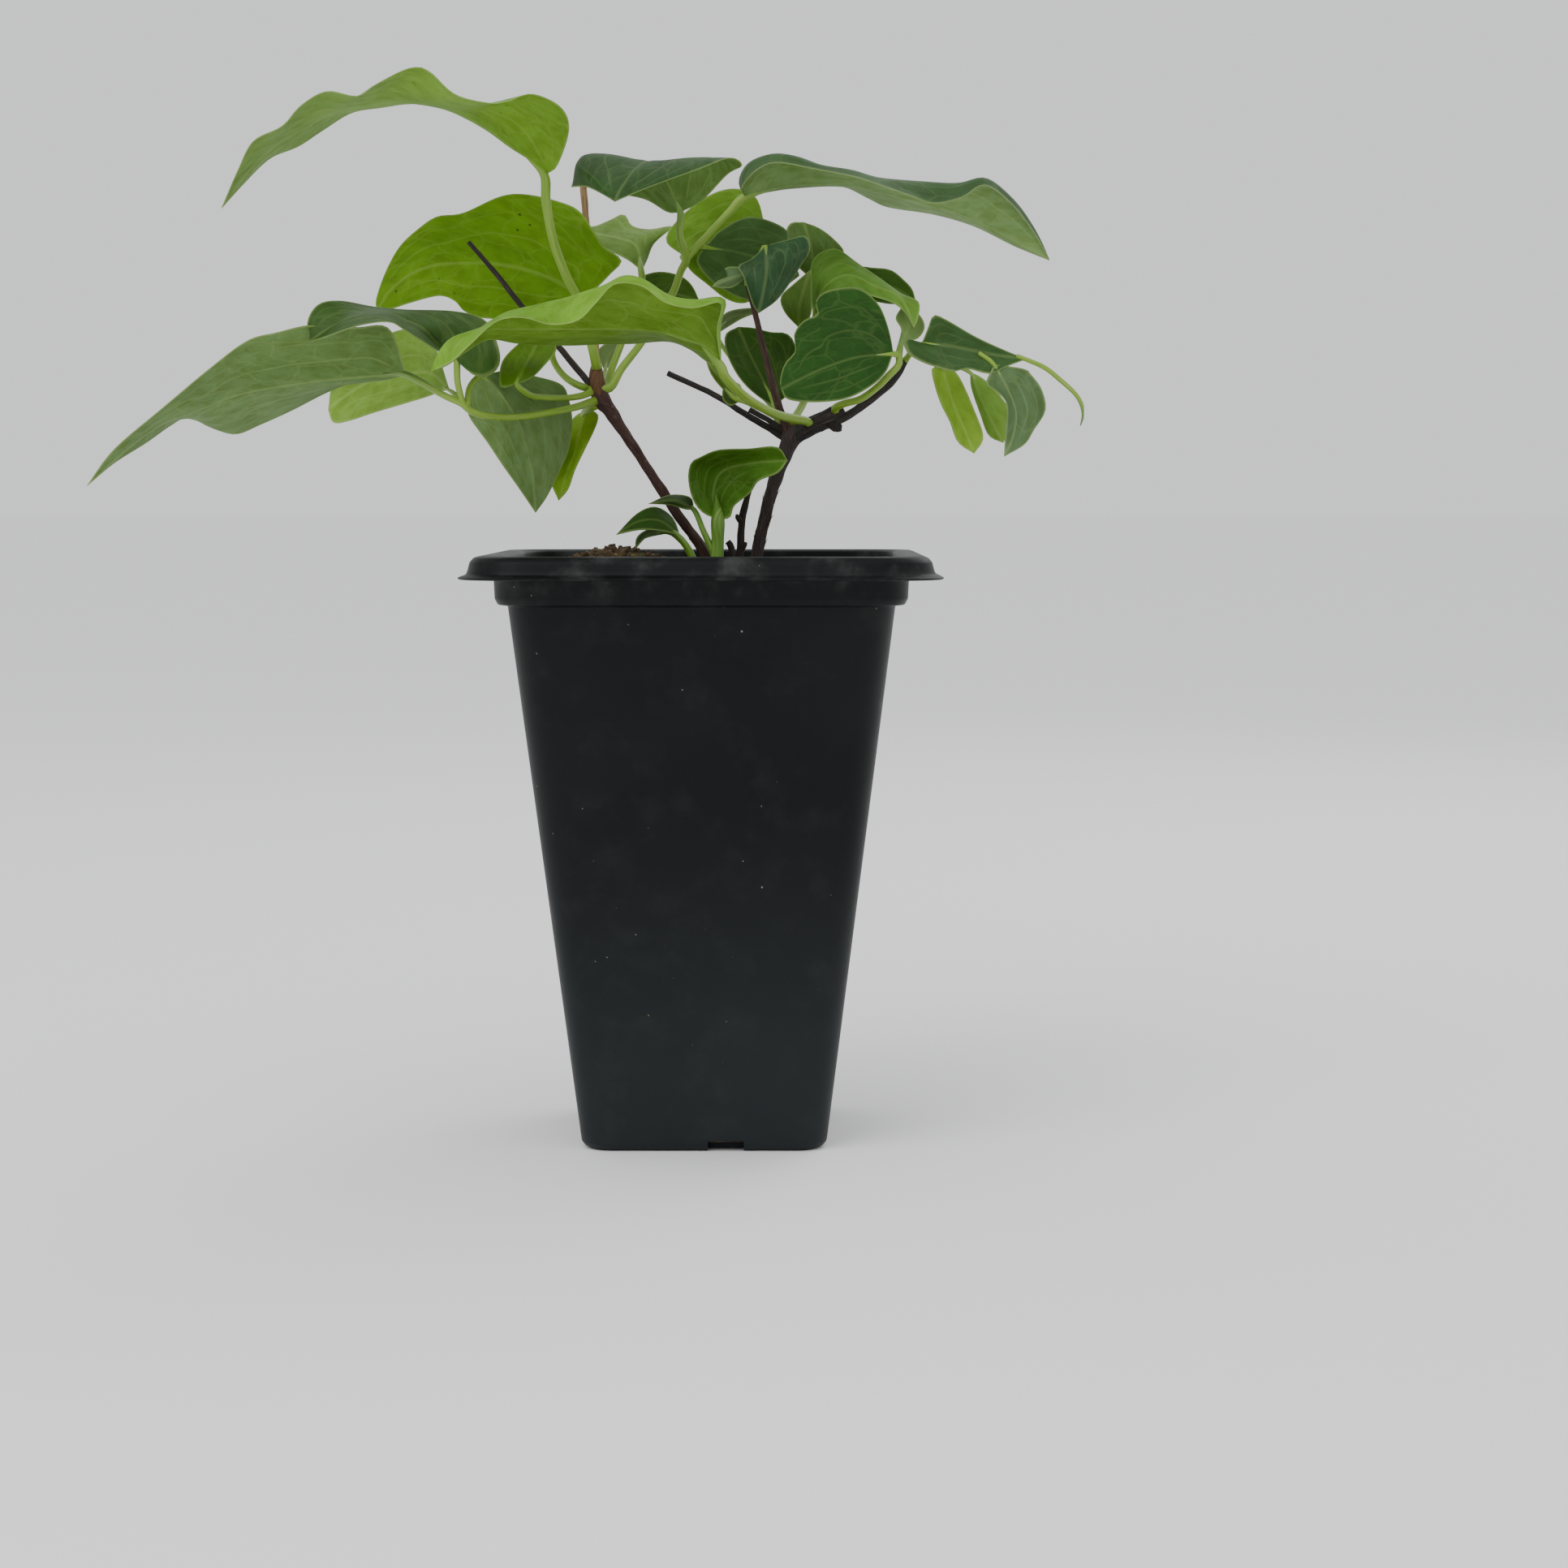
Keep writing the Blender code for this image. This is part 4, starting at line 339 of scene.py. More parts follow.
            [[(-22.9, 173, 5), (-24.5, 177, 7), (-22.3, 179.3, 10), (-18.8, 179.6, 12)],
             [(-22.9, 173, 5), (-21.8, 176.6, 8), (-18.8, 179.6, 12)],
             [(-22.9, 173, 5), (-21, 174.6, 7.5), (-19.2, 177.4, 10), (-18.8, 179.6, 12)]],
        ],
    },
    "leaf_front": {
        "stems": [[(23, 161.5, -2.75, 1.0), (20.1, 162.1, -6, 1.0), (16.7, 162.9, -10, 1.0),
                   (13.1, 164.5, -15, 1.0), (8.5, 167.5, -22, 1.0), (4.6, 171.5, -28, 1.05),
                   (3, 174.6, -30, 1.05), (-1.5, 179.4, -30.4, 0.6)]],
        "blades": [
            [[(3.5, 174.6, -30), (2.6, 182, -38), (3.5, 188.3, -42), (-2.6, 187.2, -46),
              (-9, 188.4, -46), (-14.5, 192.2, -45), (-20.6, 192.6, -46), (-24.7, 188.5, -47),
              (-28.9, 184.4, -48), (-35, 183.4, -48), (-41.2, 185, -48), (-47.3, 184.2, -48),
              (-53.2, 179, -48), (-57.5, 175, -47), (-62.2, 172.8, -46)],
             [(3.5, 174.6, -30), (3, 183, -34), (3.5, 188.9, -37), (-3.5, 188.8, -39),
              (-9, 189.8, -39), (-14.5, 192.9, -39), (-19.1, 193.9, -39), (-23.7, 191.9, -40),
              (-31.1, 189.7, -40), (-38.5, 187.7, -41), (-45.5, 186, -42), (-50.5, 182.9, -43),
              (-56.9, 180.6, -45), (-60, 177.5, -46), (-62.2, 172.8, -46)],
             [(3.5, 174.6, -30), (0.5, 178.5, -31), (-4, 180.5, -30), (-10.9, 182.5, -29),
              (-23.7, 183.1, -29), (-38.5, 182.9, -31), (-49.5, 182.5, -36), (-56.5, 178.4, -43),
              (-62.2, 172.8, -46)],
             [(3.5, 174.6, -30), (0.6, 174.9, -26), (-3.5, 177.8, -20), (-8.6, 179.6, -15),
              (-16.4, 179.1, -15), (-23.7, 179, -16), (-31.1, 178.7, -17), (-42.1, 179.1, -22),
              (-49.1, 180, -31), (-54.6, 177, -38), (-58.5, 174.2, -43), (-62.2, 172.8, -46)]],
        ],
    },
    "leaf_spray_right_back": {
        "stems": [
            [(19.65, 161.25, 1.65, 0.9), (22.6, 166.5, 10, 0.85), (25, 175, 15, 0.8),
             (25.2, 183, 13, 0.8), (24.7, 189, 14, 0.7), (24.1, 193.6, 16, 0.65),
             (24, 198.5, 16.6, 0.4)],
            [(25.2, 182.4, 13, 0.6), (24.8, 185.7, 5, 0.6), (26.4, 191, 2.4, 0.4)],
            [(25.1, 184.5, 12.8, 0.5), (28, 189.5, 11, 0.5), (31.5, 193.2, 10, 0.5),
             (35.5, 192.9, 8.8, 0.4)],
            [(25.1, 181.8, 13, 0.5), (23.4, 182.2, 8, 0.5), (21.5, 183.4, 2.6, 0.4)],
        ],
        "blades": [
            [[(24.1, 193.6, 16), (19.5, 198.2, 17), (18.2, 203.7, 19), (19.3, 206.4, 20),
              (22.3, 206.6, 20.4)],
             [(24.1, 193.6, 16), (24.1, 200, 16.5), (22.3, 206.6, 20.4)],
             [(24.1, 193.6, 16), (29.6, 196.4, 17), (31.5, 199.7, 18), (28.9, 203, 19),
              (25.6, 205.4, 20), (22.3, 206.6, 20.4)]],
            [[(24.7, 185.7, 5), (27.8, 186.9, 0), (31.2, 189.6, -2), (34.6, 191, -2.6),
              (37.9, 189.8, -3.4), (42.5, 188.3, -6), (45.6, 185.8, -9), (47.3, 182.7, -10)],
             [(24.7, 185.7, 5), (27.3, 191.8, 0.4), (32.4, 194.4, -1), (38.5, 191.9, -2.4),
              (44, 189.4, -5.4), (47.3, 182.7, -10)],
             [(24.7, 185.7, 5), (23.6, 192.7, 5), (24.5, 198.2, 6), (27.4, 200.3, 6),
              (30.2, 200.4, 5), (34.6, 197.3, 3), (39.7, 193.8, 1), (44.3, 190.5, -2),
              (48.3, 188.6, -5.4), (48.2, 185, -9), (47.3, 182.7, -10)]],
            [[(31.5, 193.2, 10), (34.2, 196.4, 10), (37.9, 196.3, 10), (42, 195.8, 10),
              (44.9, 193.6, 9), (46.9, 191.4, 8), (47.7, 188.6, 7)],
             [(31.5, 193.2, 10), (37, 192.7, 8.5), (42.5, 191.8, 8), (47.7, 188.6, 7)],
             [(31.5, 193.2, 10), (35.1, 189.9, 8), (41.6, 188.1, 7), (47.7, 188.6, 7)]],
            [[(21.3, 182.6, 3), (18, 186.2, 1), (17.1, 189.7, 0), (20.1, 192.7, -1), (24, 196, -1)],
             [(21.3, 182.6, 3), (21.3, 187.2, -1.5), (22.4, 191.8, -2), (24, 196, -1)],
             [(21.3, 182.6, 3), (23.8, 185.4, 0), (24.1, 189.7, -1.4), (24, 196, -1)]],
        ],
    },
    "leaf_behind_twig": {
        "stems": [
            [(16.3, 160.5, 2.9, 0.8), (15.8, 165, 4, 0.7), (13, 170.6, 5, 0.4)],
            [(16.2, 163.4, 4, 0.5), (11, 169.4, 13, 0.5), (5.6, 176, 18, 0.5),
             (2.6, 181.3, 20, 0.5), (5, 184.6, 21.6, 0.4)],
        ],
        "blades": [
            [[(15.8, 165, 4), (13.1, 166.3, 5), (9.4, 169.3, 6), (6.6, 173, 7), (4.6, 177.6, 8),
              (4.6, 181.3, 8), (7.4, 182.9, 8)],
             [(15.8, 165, 4), (13.1, 170.6, 5), (10.3, 176.1, 6), (7.4, 182.9, 8)],
             [(15.8, 165, 4), (20, 169, 5.5), (21, 174.3, 7), (20.3, 179, 8.4),
              (18.4, 181.4, 9), (14.9, 181.7, 9), (10.8, 182.7, 8.5), (7.4, 182.9, 8)]],
            [[(2.6, 181.3, 20), (3.5, 184.9, 21), (5.7, 186.6, 22), (10.3, 187.2, 23),
              (12.7, 186.4, 24)],
             [(2.6, 181.3, 20), (5.5, 184.9, 21.8), (12.7, 186.4, 24)],
             [(2.6, 181.3, 20), (5.2, 182.9, 21.4), (8.6, 184.9, 22.6), (12.7, 186.4, 24)]],
        ],
    },
    "leaf_heart_right": {
        "stems": [[(29.4, 164.5, -3.75, 0.9), (31.5, 165.5, -6.2, 0.85), (35.1, 166.5, -7, 0.8),
                   (38.8, 169.1, -7.6, 0.8), (41.6, 171.9, -8, 0.8), (43.8, 174.3, -8.2, 0.8),
                   (43.9, 176.9, -8.6, 0.8), (44.4, 179.6, -5.6, 0.6), (44.6, 182.4, -3.4, 0.4)],
                  [(43.9, 176.4, -8.5, 0.7), (42.4, 176.8, -10, 0.65), (38.4, 176.6, -12, 0.4)]],
        "blades": [
            [[(42.5, 176.7, -10), (40.7, 172.4, -11), (37, 169.1, -13), (31.5, 166.5, -15),
              (24.1, 165.8, -16), (18.6, 166.5, -16), (17.1, 168.8, -16)],
             [(42.5, 176.7, -10), (35.1, 176.1, -13.5), (27.8, 173.9, -14.8), (21.3, 171, -15.8),
              (17.1, 168.8, -16)],
             [(42.5, 176.7, -10), (42.3, 178.9, -11), (41.2, 183.5, -13), (39.2, 188.1, -15),
              (35.5, 191.4, -16), (32, 191.9, -16.4), (26.9, 190.8, -16.4), (25, 188.6, -16.2),
              (25.6, 185.9, -16.2), (22.3, 184.4, -16), (20.1, 181.3, -16), (20.4, 177.6, -16),
              (18, 174.6, -16), (16.9, 171, -16), (17.1, 168.8, -16)]],
            [[(44.4, 179.8, -5.4), (44.3, 182.6, -3.6), (43.1, 184.9, -2), (44.3, 187.2, -0.6)],
             [(44.4, 179.8, -5.4), (46, 183, -2.4), (44.3, 187.2, -0.6)],
             [(44.4, 179.8, -5.4), (48, 180.2, -3.4), (49.7, 182.9, -1), (48.2, 185.9, 0.4),
              (44.3, 187.2, -0.6)]],
        ],
    },
    "leaf_spray_far_right": {
        "stems": [
            [(45.85, 176, -3.5, 0.7), (47.4, 178, -6.4, 0.7), (49, 178.9, -8, 0.65),
             (54.5, 178.7, -10, 0.4)],
            [(70.5, 176.4, -12, 0.5), (76.5, 173.9, -12, 0.55), (80.2, 171.1, -12, 0.55),
             (84.2, 167.3, -11, 0.5), (85.7, 163.6, -11, 0.45), (85, 160.5, -10, 0.35)],
            [(47.8, 178.2, -6.8, 0.6), (51, 176, -2, 0.55), (53.7, 173.6, 0.6, 0.5),
             (55, 170.6, 2, 0.4)],
            [(51, 176, -2, 0.5), (56, 174.4, 2, 0.45), (60.2, 172.4, 5, 0.45),
             (61.6, 169.4, 7.4, 0.35)],
            [(62, 177, -12.2, 0.5), (65.2, 174.6, -12.8, 0.5), (67.8, 170, -12.4, 0.4)],
        ],
        "blades": [
            [[(48.9, 178.9, -8), (50.4, 182.6, -9), (51.7, 185.5, -10), (54.5, 184.6, -11),
              (60.9, 180.9, -12), (66.4, 178.3, -12), (72.8, 175.6, -12)],
             [(48.9, 178.9, -8), (54.5, 178.7, -10), (60.5, 177.6, -11.5), (66.4, 176.4, -12),
              (72.8, 175.6, -12)],
             [(48.9, 178.9, -8), (44.9, 180.2, -9.4), (45.8, 177, -10.4), (48.9, 175, -11),
              (52.6, 173.7, -12), (56.3, 172.8, -13), (59.4, 173.4, -13), (64.4, 172.3, -13.4),
              (68.5, 174, -12.8), (72.8, 175.6, -12)]],
            [[(65.5, 174.4, -13), (63.8, 171, -14), (63.9, 169.5, -14), (66.1, 168.2, -14),
              (68.3, 165.1, -14), (67.9, 157.7, -13), (67.7, 153.5, -13)],
             [(65.5, 174.4, -13), (68.3, 168.8, -12), (70.1, 163.2, -11.2), (69.4, 157.7, -12),
              (67.7, 153.5, -13)],
             [(65.5, 174.4, -13), (72.3, 173.4, -12), (74, 171.9, -11), (76.2, 168.8, -9.4),
              (77.1, 164.1, -8.4), (74.5, 159.6, -9), (72.3, 156.2, -11), (67.7, 153.5, -13)]],
            [[(53.5, 174.3, 0.4), (51.3, 173.4, 0), (52.1, 169.1, 1), (53.5, 165.1, 2),
              (55.4, 161.4, 2), (57.2, 156.8, 2), (60.9, 154.2, 2)],
             [(53.5, 174.3, 0.4), (56.3, 165.1, 3.5), (59.1, 158.6, 3.2), (60.9, 154.2, 2)],
             [(53.5, 174.3, 0.4), (57.2, 172.1, 1), (61.3, 163.2, 2.6), (63, 157.7, 2.6),
              (60.9, 154.2, 2)]],
            [[(60, 172.8, 5), (60.3, 169, 8), (62.3, 163, 10), (64.2, 158.3, 10), (67.5, 156.6, 9)],
             [(60, 172.8, 5), (63.1, 165.1, 9), (67.5, 156.6, 9)],
             [(60, 172.8, 5), (63.7, 170.6, 6.6), (68.3, 165.1, 8), (68.6, 159.5, 8.6),
              (67.5, 156.6, 9)]],
        ],
    },
    "leaf_pair_fork": {
        "stems": [[(16.25, 162.45, -3.15, 0.7), (12.6, 164.2, -4.4, 0.6), (9, 165.9, -5.6, 0.55),
                   (6.2, 167, -6.4, 0.55), (3.4, 170.6, -8, 0.35)]],
        "blades": [
            [[(6.6, 166.9, -6.2), (3.9, 168.8, -7.2), (1.3, 172.1, -9), (0, 175.6, -10)],
             [(6.6, 166.9, -6.2), (4.6, 169.9, -8), (2.2, 172.8, -9.8), (0, 175.6, -10)],
             [(6.6, 166.9, -6.2), (5.9, 170.4, -7.4), (3.1, 173.4, -9), (0, 175.6, -10)]],
            [[(8.2, 166.4, -5.4), (5.7, 165, -4.4), (3.9, 166.6, -3.8), (3.9, 169.6, -3.4)],
             [(8.2, 166.4, -5.4), (6, 167.8, -3.6), (3.9, 169.6, -3.4)],
             [(8.2, 166.4, -5.4), (8.2, 169.2, -3.6), (6.6, 170.4, -3.4), (3.9, 169.6, -3.4)]],
        ],
    },
    "young_leaves_middle": {
        "stems": [[(9.3, 193.1, -9.7, 0.5), (9.8, 194.4, -11.6, 0.6), (12, 198.5, -11.6, 0.5),
                   (13.6, 201.3, -12, 0.5), (13.8, 198, -14.4, 0.35)]],
        "blades": [
            [[(13.6, 201.3, -12), (18.6, 202.6, -12), (22.8, 203.5, -11), (23.7, 200.4, -9.6),
              (21.9, 197.3, -9.4), (19.9, 194, -10.4), (16.2, 189, -13), (12, 186, -15)],
             [(13.6, 201.3, -12), (13.8, 196.4, -15.4), (13.1, 191.2, -16.2), (12, 186, -15)],
             [(13.6, 201.3, -12), (10.3, 198.2, -13), (7.5, 196.7, -14), (8.5, 194.5, -15),
              (9.6, 191.4, -15), (10.7, 188.1, -15), (12, 186, -15)]],
            [[(10.5, 195.2, -11.6), (7.2, 196.5, -12), (4.4, 196.2, -12), (5.3, 194.5, -12),
              (2.9, 193.4, -12.6), (1.5, 192.1, -13)],
             [(10.5, 195.2, -11.6), (6, 194, -12.6), (1.5, 192.1, -13)],
             [(10.5, 195.2, -11.6), (6.6, 192.1, -12), (3.9, 191.7, -12.5), (1.5, 192.1, -13)]],
        ],
    },
    "basal_shoot_front": {
        "stems": [[(2.4, 112, -9.4, 1.5), (2.7, 128.3, -10, 1.45), (2.8, 134, -10, 1.4),
                   (2.8, 139.6, -9.8, 1.5), (2.4, 145, -8.4, 0.7)],
                  [(2.2, 131, -9.8, 0.9), (-0.4, 136.5, -9, 0.7), (-2.6, 141.5, -8, 0.6),
                   (-6, 143.4, -10, 0.4)]],
        "blades": [
            [[(2.8, 139.3, -10), (5.5, 139.7, -10), (6.6, 142.4, -10.4), (10.1, 145.2, -12),
              (12.1, 148, -14), (16.4, 149.8, -15), (18.6, 152.6, -14)],
             [(2.8, 139.3, -10), (1.7, 144.8, -7), (3.9, 150.4, -8), (11.2, 152.2, -11.4),
              (18.6, 152.6, -14)],
             [(2.8, 139.3, -10), (-0.6, 140.8, -10), (-2.9, 143.9, -10), (-3.9, 148.5, -11),
              (-3.3, 152, -12), (-1.3, 153.3, -13), (2.9, 155, -14), (9.8, 155.3, -15),
              (16.2, 155.7, -15), (18.6, 152.6, -14)]],
            [[(-2.6, 141.5, -8), (-4.6, 141.5, -10), (-8.1, 142.5, -12), (-12.9, 142.8, -13)],
             [(-2.6, 141.5, -8), (-7.2, 143.6, -12), (-12.9, 142.8, -13)],
             [(-2.6, 141.5, -8), (-3.5, 144.3, -8.4), (-8.1, 144.8, -10.6), (-12.9, 142.8, -13)]],
        ],
    },
    "basal_shoot_left": {
        "stems": [[(-1.6, 116, -8, 0.9), (-1.8, 125, -8, 0.9), (-2.9, 130.5, -9, 0.85),
                   (-5.9, 135.2, -10, 0.75), (-10, 138.2, -11, 0.4)],
                  [(-5, 133.9, -9.7, 0.6), (-8, 136.2, -8, 0.5), (-12, 136, -6.8, 0.35)]],
        "blades": [
            [[(-5.7, 135.4, -10), (-9, 136.4, -12), (-14.5, 136.9, -14), (-20.2, 135.8, -13)],
             [(-5.7, 135.4, -10), (-10.5, 138.9, -11.6), (-15.5, 138.6, -12.6), (-20.2, 135.8, -13)],
             [(-5.7, 135.4, -10), (-7.4, 139.6, -8.6), (-11.2, 142.1, -9), (-15.5, 140.6, -10.4),
              (-20.2, 135.8, -13)]],
            [[(-8, 136.2, -8), (-12.7, 135.3, -7.4), (-14.7, 134.3, -7.6), (-16, 132.5, -8)],
             [(-8, 136.2, -8), (-12.7, 136, -6.6), (-16, 132.5, -8)],
             [(-8, 136.2, -8), (-12.7, 137, -6), (-15.5, 135.3, -6.4), (-16, 132.5, -8)]],
        ],
    },
}

# Upper colour, lower colour and amount of dark flecks of each blade, in the order of the blades. Besides the
# leaves' own greens, these colours hold painted light and shade: each blade is set as light or dark as it
# shows, so a blade lying in shade is darker and a blade catching more light is lighter.
TONES = {
    "leaf_spray_lower_left": [("#46682C", "#628244", 0.3), ("#3A5A24", "#5F7E46", 0.2),
                              # Painted light: the fourth blade of this spray is lightened against the shade
                              # that the blades above cast on it.
                              ("#5E8230", "#7AA03C", 0.2), ("#5C8344", "#76965A", 0.1)],
    "leaf_inner_left": [("#557A12", "#6E9A22", 0.8)],
    "leaf_upper_left": [("#649220", "#7AA62C", 0.4)],
    "leaf_middle_left": [("#5F8E08", "#6A9806", 1.0)],
    "leaf_pair_back": [("#557A2C", "#6C8C42", 0.1), ("#4A6C20", "#66863C", 0.1)],
    "leaf_spray_top": [("#2C4E20", "#688A46", 0.1), ("#38592E", "#7E9E62", 0.0),
                       ("#4E7A20", "#709C2A", 0.1), ("#486C36", "#5C7A48", 0.1)],
    "leaf_hanging_left": [("#6E9A1A", "#84AC28", 0.2)],
    "leaf_small_left": [("#80985E", "#90A574", 0.0)],
    "leaf_front": [("#76A82C", "#6E962C", 0.3)],
    "leaf_spray_right_back": [("#4C6C2A", "#65864A", 0.1), ("#4C7E18", "#6A963A", 0.1),
                              ("#3E6418", "#5C8040", 0.1), ("#5C7C30", "#76964C", 0.0)],
    "leaf_behind_twig": [("#2E5204", "#506C28", 0.2), ("#6E8058", "#8E9C7C", 0.0)],
    "leaf_heart_right": [("#245010", "#567A3C", 0.1), ("#7E9A5A", "#8EA870", 0.0)],
    "leaf_spray_far_right": [("#365828", "#647E54", 0.1), ("#44663C", "#5C7850", 0.1),
                             ("#74A01E", "#8CB438", 0.2), ("#6C962C", "#80AA46", 0.2)],
    "leaf_pair_fork": [("#587626", "#6E8A40", 0.0), ("#3C561A", "#566E34", 0.0)],
    "young_leaves_middle": [("#2E5030", "#54724C", 0.1), ("#4C683C", "#64805A", 0.0)],
    "basal_shoot_front": [("#447A14", "#48741A", 0.1), ("#30481A", "#46602E", 0.0)],
    "basal_shoot_left": [("#2E520A", "#486A2A", 0.1), ("#405C30", "#66805A", 0.0)],
}
# The colour that a blade turns towards at its tip: (node, blade)
TIP_TONES = {("leaf_upper_left", 0): "#7C9A5A", ("leaf_spray_lower_left", 0): "#708C58"}
# The smoother blades' share of the full veins and swellings: (node, blade)
RELIEF = {("leaf_upper_left", 0): 0.15, ("leaf_spray_lower_left", 0): 0.4, ("leaf_spray_top", 1): 0.4}
# The line that is the midrib, where it isn't the middle one: (node, blade)
MIDRIB_LINE = {("leaf_spray_top", 1): 1, ("leaf_front", 0): 2}
STALK_TONE = "#7C9E2E"
YOUNG_STALK_TONE = "#5C8A1E"
YOUNG_SHOOTS = ("basal_shoot_front", "basal_shoot_left")
CANE_TONES = {
    "cane": "#4A302B", "sheath": "#64452A", "old_twig": "#2E2522", "dead_shoot": "#A08058",
    "thick_stub": "#2A2523", "long_twig": "#2E2826", "knob": "#231E1D", "left_twig": "#2B2624",
    "short_twig": "#2F2926", "middle_twig": "#4A322A", "stub": "#2A211F",
    "low_bud": "#34271F", "high_bud": "#34271F",
}
RIGHT_CANE_TONE = "#3A302D"


def seen(across, up, depth):
    """The place, in metres, of a point that the eye sees at (across, up), lying at y = depth."""
    ahead = Vector((0, math.cos(EYE_DOWN), -math.sin(EYE_DOWN)))
    upward = Vector((0, math.sin(EYE_DOWN), math.cos(EYE_DOWN)))
    ray = ahead * BOARD_AWAY + upward * (up - BOARD_MIDDLE)
    ray.x = across - EYE.x
    return (EYE + ray * ((depth - EYE.y) / ray.y)) * MM


def linear(hexadecimal):
    """An sRGB hex colour as linear RGBA."""
    parts = [int(hexadecimal[i:i + 2], 16) / 255 for i in (1, 3, 5)]
    return [c / 12.92 if c <= 0.04045 else ((c + 0.055) / 1.055) ** 2.4 for c in parts] + [1.0]


def mixed(a, b, share):
    """Hex colour a turned towards hex colour b by share, as linear RGBA."""
    return [p + (q - p) * share for p, q in zip(linear(a), linear(b))]


def between(a, b, c, d, t):
    """A place on the smooth curve that runs from b to c, with a before it and d after it."""
    return 0.5 * (b * 2 + (c - a) * t + (a * 2 - b * 5 + c * 4 - d) * t ** 2
                  + (b * 3 - a - c * 3 + d) * t ** 3)


def with_ends(points):
    """The points with one more carried on past either end."""
    return [points[0] * 2 - points[1], *points, points[-1] * 2 - points[-2]]


def smooth_path(points, count):
    """count places at even spacing along a smooth curve through the points."""
    ends, fine = with_ends(points), []
    for a, b, c, d in zip(ends, ends[1:], ends[2:], ends[3:]):
        fine += [between(a, b, c, d, i / CURVE_STEPS) for i in range(CURVE_STEPS)]
    fine.append(points[-1])
    run = [0.0]
    for a, b in zip(fine, fine[1:]):
        run.append(run[-1] + (b - a).length)
    places, at = [], 0
    for i in range(count):
        want = run[-1] * i / (count - 1)
        while at < len(run) - 2 and run[at + 1] < want:
            at += 1
        span = run[at + 1] - run[at]
        places.append(fine[at].lerp(fine[at + 1], (want - run[at]) / span if span else 0.0))
    return places


class Skin:
    """Places, faces and surface facts gathered for one piece before it becomes a mesh."""

    def __init__(self):
        self.places, self.faces, self.slots = [], [], []
        self.tone, self.lay, self.make = [], [], []

    def put(self, place, tone, lay=(0, 0, 0), make=(0, 0, 0)):
        """One place. lay: mm across and along it and its share of the way to the margin;
        make: half its width in mm, 1 on a lower face, and how flecked it is."""
        inside = [min(max(p, low), high) for p, low, high in zip(place, cad_low, cad_high)]
        self.places.append(inside)
        self.tone += tone
        self.lay += lay
        self.make += make
        return len(self.places) - 1

    def face(self, corners, slot, flip=False):
        """One face, left out where its corners run together."""
        corners = list(dict.fromkeys(corners))
        if len(corners) > 2:
            self.faces.append(corners[::-1] if flip else corners)
            self.slots.append(slot)

    def piece(self, name, materials):
        """The finished piece, riding on the root."""
        mesh = bpy.data.meshes.new(name)
        mesh.from_pydata(self.places, [], self.faces)
        for label, kind, values in (("tone", "FLOAT_COLOR", self.tone),
                                    ("lay", "FLOAT_VECTOR", self.lay),
                                    ("make", "FLOAT_VECTOR", self.make)):
            facts = mesh.attributes.new(label, kind, "POINT")
            facts.data.foreach_set("color" if kind == "FLOAT_COLOR" else "vector", values)
        for material in materials:
            mesh.materials.append(material)
        mesh.polygons.foreach_set("material_index", self.slots)
        mesh.shade_smooth()
        mesh.set_sharp_from_angle(angle=math.radians(50))
        thing = bpy.data.objects.new(name, mesh)
        bpy.context.scene.collection.objects.link(thing)
        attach(thing, "root")
        return thing


def ridge(away, width):
    """1 on a line, falling softly to 0 a few widths away."""
    return math.exp(-(away / width) ** 2)


